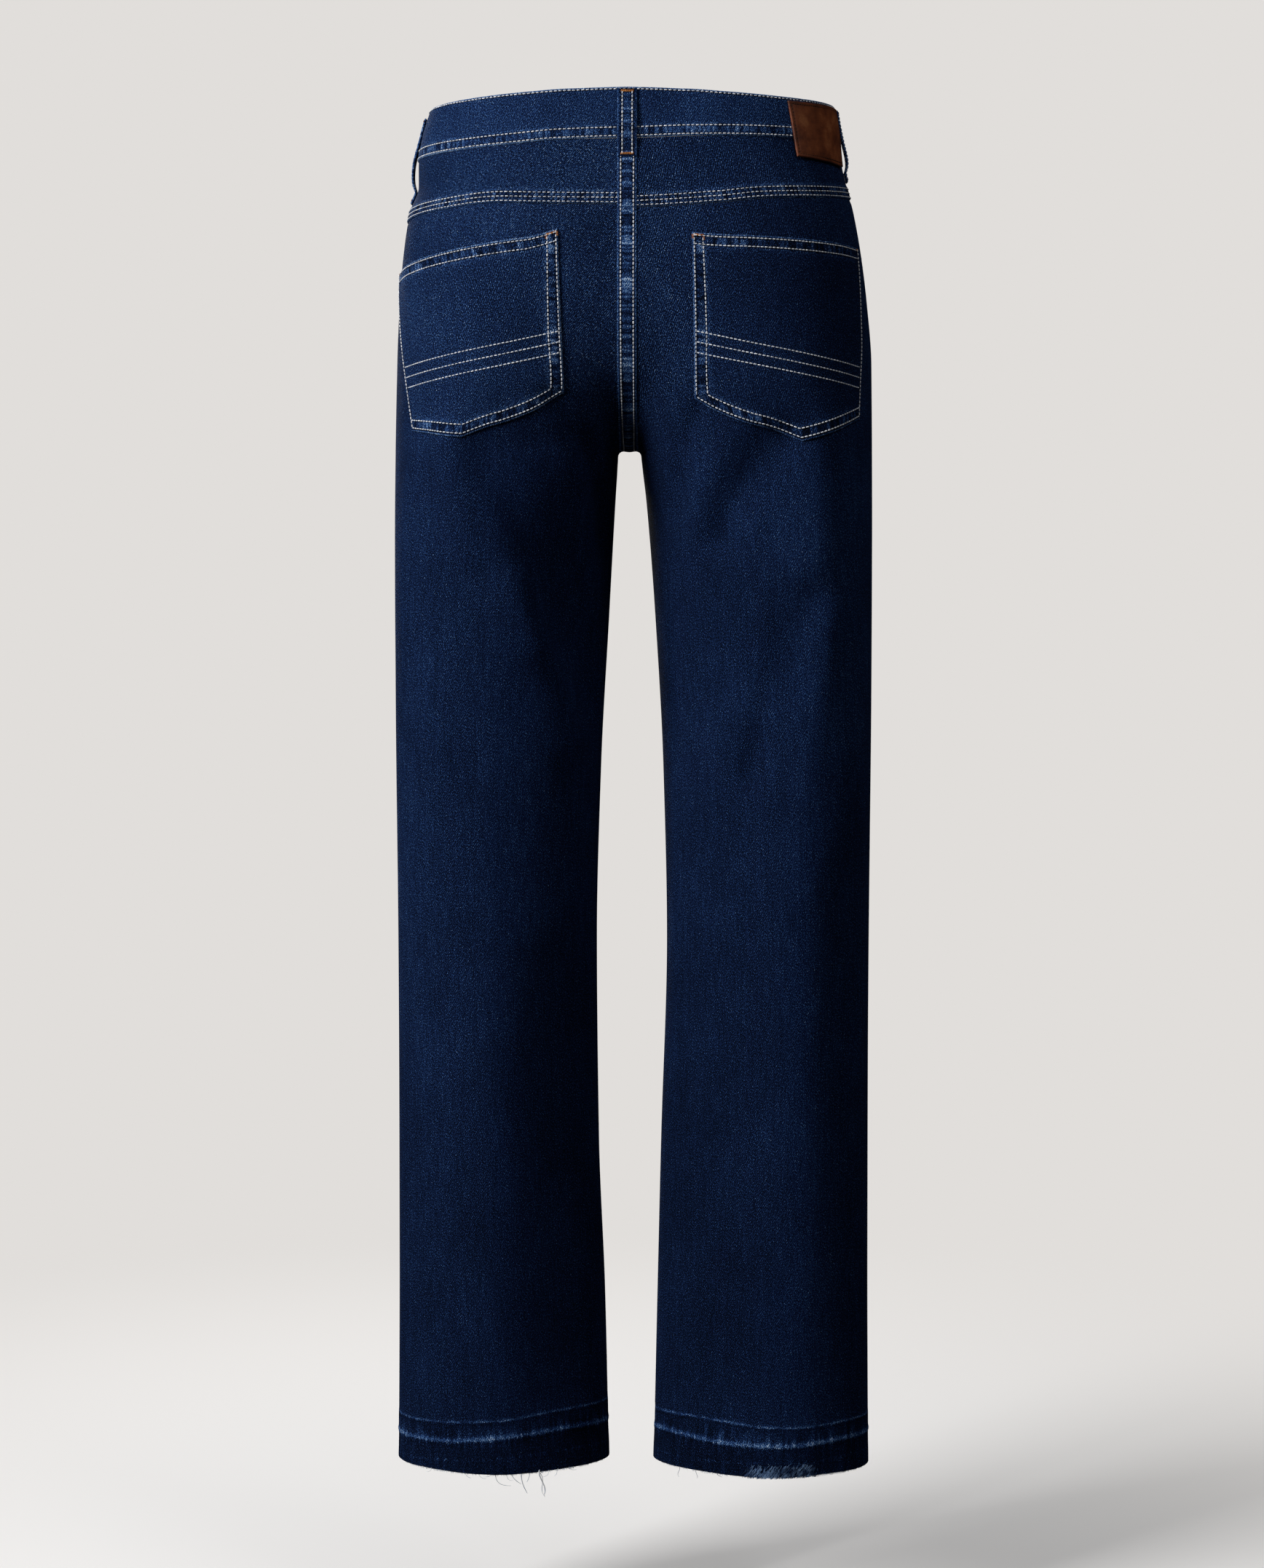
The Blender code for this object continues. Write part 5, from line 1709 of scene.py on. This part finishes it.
def pocket_rows(side):
    """One row down the outer side, two along the foot, two up the inner side and two along
    the mouth."""
    share, down, across, reached = pocket_sizes(side)
    v = np.linspace(0.004, 1, 90)
    wide = np.interp(v, share, across)
    rows = []
    for number, (outer_gap, foot_gap, inner_gap) in enumerate(POCKET_GAPS):
        u_out = np.interp(outer_gap / wide, reached, share)
        u_in = np.interp(1 - inner_gap / wide, reached, share)
        u_foot = np.linspace(u_out[-1], u_in[-1], 120)
        v_foot = 1 - foot_gap / FOOT_SLANT / np.interp(u_foot, share, down)
        if number == 0:
            keep = v < v_foot[0]
            rows.append(pocket_row(side, u_out[keep], v[keep]))
        keep = (v < v_foot[-1]) & (v > (0.0 if number == 0 else 0.02))
        rows.append(pocket_row(side, u_in[keep], v[keep]))
        rows.append(pocket_row(side, u_foot, v_foot))
    u = np.linspace(0.01, 0.985, 90)
    for gap in MOUTH_GAPS:
        rows.append(pocket_row(side, u, gap / np.interp(u, share, down)))
    return rows


def pocket_trim(side):
    """Three plain straight rows, 8 mm apart, that slant a little down to the outer side. The
    share down the pocket for a wanted level is found by halving."""
    u = np.linspace(0.025, 0.975, 90)
    x = np.abs(section(pocket_place(u, 0.6, side)[0], -175 * MM, BACK, side)[:, 0])
    slanted = mix(-184 * MM, -158 * MM, (x[0] - x) / (x[0] - x[-1]))
    rows = []
    for drop in (0, 8 * MM, 16 * MM):
        level = slanted - drop
        low, high = np.zeros(90), np.ones(90)
        for _ in range(24):
            middle = (low + high) / 2
            above = pocket_place(u, middle, side)[1] > level
            low, high = np.where(above, middle, low), np.where(above, high, middle)
        rows.append(pocket_row(side, u, low))
    return rows


for side in SIDES:
    stitches(f"pocket_stitches_{SIDE_NAME[side]}", pocket_rows(side) + pocket_trim(side),
             pale_thread)


def loop_row(node, x):
    """A row down a belt loop at a distance x from its centre line."""
    share = np.linspace(0.03, 0.97, 60)
    return on_surface(lambda lift: loop_surface(node, share, np.array([x]), lift)[:, 0],
                      LOOP_CLOTH + 0.1 * MM)


stitches("belt_loop_stitches", [loop_row(node, x) for node in BELT_LOOPS for x in LOOP_ROWS],
         pale_thread, pitch=3.0 * MM)

# %% Bartacks
def loop_tack(node, share):
    """A line across a belt loop."""
    reach = np.linspace(-5.0, 5.0, 12) * MM
    return on_surface(lambda lift: loop_surface(node, np.array([share]), reach, lift)[0],
                      LOOP_CLOTH + 0.15 * MM)


tacks = [loop_tack(node, share) for node in BELT_LOOPS for share in (0.035, 0.955)]
for side in SIDES:
    share, down, across, reached = pocket_sizes(side)
    u = np.interp(1 - np.array([0.9, 0.9, 6.0, 11.2, 11.2]) * MM / across[0], reached, share)
    tacks.append(pocket_row(side, u, np.array([5.4, 1.9, 1.9, 1.9, 5.4]) * MM / down[-1]))
    u = np.interp(np.array([0.6, 3.0, 5.6]) * MM / across[0], reached, share)
    tacks.append(pocket_row(side, u, 1.9 * MM / down[0]))
stitches("bartacks", tacks, orange_thread, pitch=0.9 * MM, length=2.0 * MM, width=0.55 * MM,
         rise=0.25, turn=np.radians(74))

# %% [markdown]
# ## Stitches on the front, the patch and the fly
#
# The front is finished plainly: two rows along each scooped pocket, the J of the fly, and a short
# row beside each side seam at the hip. The leather patch has one row of dark thread.

# %% Front and patch stitches
def front_row(across, level, side):
    """A row through places on the front."""
    return on_surface(lambda lift: skin(across, level, FRONT, side, lift))


def scoop_row(side, gap):
    """A row at a gap below the scooped pocket's opening, measured square to it."""
    across = np.linspace(0.0, SCOOP_ACROSS * 0.985, 90)
    slope = np.gradient(scoop(across, side), across * HALF_WIDTH)
    level = scoop(across, side) - gap * np.sqrt(1 + np.minimum(slope, 3.0) ** 2)
    keep = level > WAIST_BLEND_LEVEL
    return front_row(across[keep], level[keep], side)


def fly_row(x):
    """Straight down beside the centre front, then a quarter circle in to it."""
    straight = np.linspace(FLY_TOP, FLY_BOTTOM + x + 12 * MM, 40)
    angle = np.linspace(0, np.pi / 2, 24)[1:]
    level = np.concatenate([straight, straight[-1] - x * np.sin(angle)])
    away = np.concatenate([np.full(40, x), x * np.cos(angle)])
    across = across_at(np.maximum(away, 0.8 * MM), level, FRONT, LEFT)
    return front_row(across, level, LEFT)


def hip_row(side):
    """A row just in front of the side seam, from the scoop down to the hip."""
    level = np.linspace(SCOOP_SIDE_LEVEL[side] - 4 * MM, -215 * MM, 60)
    return front_row(np.full(60, 0.012), level, side)


front_rows = [scoop_row(side, gap) for side in SIDES for gap in (2 * MM, 8.5 * MM)]
front_rows += [fly_row(34 * MM), fly_row(40.5 * MM)] + [hip_row(side) for side in SIDES]
stitches("front_stitches", front_rows, pale_thread)

# The patch's rows lie in its pressed border, along the top and the foot, then both sides.
side_share = np.linspace(0, 1, 50)
gap_u, gap_v = PATCH_ROW / np.array([wide.mean(), long.mean()])
all_u, all_v = mix(gap_u, 1 - gap_u, side_share), mix(gap_v, 1 - gap_v, side_share)
patch_rows = [
    on_surface(lambda lift: patch_surface(u, v, lift), PATCH_LIFT + PATCH_LEATHER - 0.25 * MM)
    for u, v in ((all_u, gap_v), (all_u, 1 - gap_v), (gap_u, all_v), (1 - gap_u, all_v))
]
stitches("patch_stitches", patch_rows, brown_thread, pitch=2.6 * MM, length=2.1 * MM,
         width=0.6 * MM)
print("stitches in all:", sum(stitch_counts))

# %% [markdown]
# ## Frayed hems
#
# A raw hem sheds its weft. The warp ends stand out below the last weft thread as a short fuzz,
# pale yarns hang free under the left hem, and on the right one, where the edge is worn, blue
# yarns lie rubbed out of the cloth.
# Each yarn is a thin tube. Their places come from a random generator with a fixed seed, so
# that every run gives the same hems.

# %% Yarn ends all round
random = np.random.default_rng(7)
yarn = make_thread("loose cotton yarn, half dyed", "#b7c3d3", "#f6f7f8")
rubbed_yarn = make_thread("rubbed blue yarn", "#22406e", "#7f9fc8")
dark_yarn = make_thread("loose indigo yarn", "#0c1730", "#3c547c")


def hem_frame(across, half, side):
    """Points on the raw edge, with the outward and the sideways direction at each."""
    level = hem(across, side, half)
    point = skin(across, level, half, side, -0.5 * CLOTH)
    out = skin(across, level, half, side, 1.0) - skin(across, level, half, side)
    sideways = np.cross(out, (0, 0, 1))
    return point, out, sideways / np.linalg.norm(sideways, axis=-1, keepdims=True)


def fuzz(half, side, count, reach):
    """Short yarn ends: each runs down from inside the edge and leans a little."""
    across = np.sort(random.uniform(0.003, 0.997, count))
    point, out, sideways = hem_frame(across, half, side)
    length = reach * random.uniform(0.35, 1.0, count) ** 1.5
    lean, fall = random.normal(0, 0.35, count), random.normal(0, 0.25, count)
    share = np.array([-0.5, 0.0, 0.5, 1.0])
    steps = share[:, None] * length[:, None, None]
    bend = (np.clip(share, 0, 1) ** 2)[:, None] * length[:, None, None]
    swing = lean[:, None] * sideways + fall[:, None] * out
    return point[:, None] - steps * np.array([0, 0, 1]) + bend * swing[:, None], out


FUZZ_SHAPE = np.array([1.0, 1.0, 0.8, 0.5]) * 0.19 * MM
for side in SIDES:
    parts = [fuzz(half, side, 520, 1.15 * MM) for half in (BACK, FRONT)]
    lines, up = (np.concatenate(part) for part in zip(*parts))
    tubes(f"hem_fuzz_{SIDE_NAME[side]}", lines, FUZZ_SHAPE, up, yarn)

# %% Loose yarns under the left hem
# Each yarn: x of its points and how far they are below the hem, in millimetres, then width.
LEFT_YARNS = (
    ((107, -1), (106, 3), (103, 7), (94, 9), 0.60),
    ((94, -1), (92, 3), (89, 6), (86, 8), 0.60),
    ((86, -1), (85.5, 5), (84, 10), (81, 16), 0.80),
    ((79, -1), (79.5, 2), (80.5, 5), (81.5, 7), 0.60),
    ((71.5, -2), (70.5, 5), (67.5, 12), (68, 19), 1.10),
    ((72.5, -1), (69, 6), (69.5, 13), (67, 20), 0.60),
    ((56.6, -1), (57.5, 1), (58, 3), (60, 4.5), 0.40),
    ((158.8, -1), (159.5, 1), (161, 2.5), (163, 3), 0.40),
    ((130.6, -1), (130, 1.5), (128, 3), (126, 3.4), 0.40),
    ((119.7, -1), (119, 1.5), (117, 3), (114, 3.4), 0.40),
    ((99, -1), (97, 2), (96, 4), (92, 5), 0.30),
    ((64, -1), (64.5, 2), (66, 3.5), (69, 4), 0.30),
    ((110, -1), (111, 1), (113, 1.8), (116, 2), 0.35),
    ((48, -1), (47, 1), (45, 2), (42, 2.4), 0.30),
)
RIGHT_HAIRS = (
    ((40, -1), (40.6, 2), (39.4, 5), (40.2, 8), 0.34),
    ((54.6, -1), (54.0, 1.5), (55.0, 4), (54.6, 6), 0.32),
    ((71, -1), (71.6, 0.8), (73, 1.6), (75, 2.2), 0.30),
)


def smooth_lines(points, count):
    """A smooth line through each row of four points: a cubic through all four at once."""
    t = np.linspace(0, 1, count)[:, None]
    knots = np.array([0, 1 / 3, 2 / 3, 1])
    weights = np.ones((count, 4))
    for i in range(4):
        others = np.delete(knots, i)
        weights[:, i] = np.prod((t - others) / (knots[i] - others), axis=1)
    return np.einsum("ck,nkd->ncd", weights, points)


def hanging(yarns, side):
    """Loose yarns hang from the back hem in the plane of the cloth there, and swing out."""
    x = np.array([[p[0] for p in row[:4]] for row in yarns]) * MM
    below = np.array([[p[1] for p in row[:4]] for row in yarns]) * MM
    across = across_at(x, HEM_LEVEL[side], BACK, side)
    point = skin(across, hem(across, side, BACK), BACK, side, -0.4 * MM)
    point[..., 2] -= below
    point[..., 1] += 0.12 * np.clip(below, 0, 1)
    lines = smooth_lines(point, 12)
    shape = np.interp(np.linspace(0, 1, 12), [0, 0.7, 1], [1.0, 0.85, 0.4])
    radius = np.array([row[4] for row in yarns])[:, None] / 2 * MM * shape
    return lines, radius, np.tile([0.0, 1.0, 0.0], (len(lines), 1))


hem_yarns = tubes("hem_yarns_left", *hanging(LEFT_YARNS, LEFT), yarn)
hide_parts("hem_fray_left")

# %% Worn edge of the right hem
def across_lines(across, level, below, lift):
    """Smooth lines over the right leg's cloth, that leave it where they pass the hem."""
    height = level - hem(across, RIGHT, BACK)
    relief = hem_relief(across, height, RIGHT)
    point = skin(across, level, BACK, RIGHT, relief + lift)
    point[..., 2] -= np.maximum(below, 0)
    return smooth_lines(point, 7)


def worn_edge(x_from, x_to, count, slant):
    """Short yarns rubbed out of the cloth just above the right hem. Each is a smooth line
    through four points: it starts some millimetres up, runs down at a slant that changes at
    random, and ends at the edge or a little below."""
    x = random.uniform(x_from, x_to, count)
    up = random.uniform(0.0, 1.0, count) ** 1.3 * 11 * MM
    longest = random.uniform(2.5, 7.0, count) * MM
    reach = np.minimum(longest, up + random.uniform(0.2, 1.3, count) * MM)
    lean = slant + random.normal(0, 0.35, (count, 1)) + random.normal(0, 0.3, (count, 4))
    step = np.array([0, 1, 2, 3]) / 3
    place_x = x[:, None] + np.cumsum(np.sin(lean), axis=1) * reach[:, None] / 3
    below = -up[:, None] + step * reach[:, None]
    across = across_at(np.clip(place_x, 0.03, 0.19), HEM_LEVEL[RIGHT], BACK, RIGHT)
    level = hem(across, RIGHT, BACK) - np.minimum(below, 0)
    free = np.clip(below / (3 * MM), 0, 1)
    lift = mix(random.uniform(0.15, 0.6, (count, 1)) * MM, 0.1 * MM, free)
    lines = across_lines(across, level, below, lift)
    radius = random.uniform(0.12, 0.24, (count, 1)) * MM * np.array([0.4, 1, 1, 1, 0.9, 0.8, 0.4])
    return lines, radius, np.tile([0.0, 1.0, 0.0], (count, 1))


tubes("hem_worn_yarns_right", *worn_edge(0.098, 0.148, 250, -0.55), rubbed_yarn)
tubes("hem_worn_yarns_right_dark", *worn_edge(0.094, 0.152, 240, -0.6), dark_yarn)
tubes("hem_worn_yarns_right_pale", *worn_edge(0.106, 0.142, 26, -0.5), rubbed_yarn)
tubes("hem_hairs_right", *hanging(RIGHT_HAIRS, RIGHT), dark_yarn)
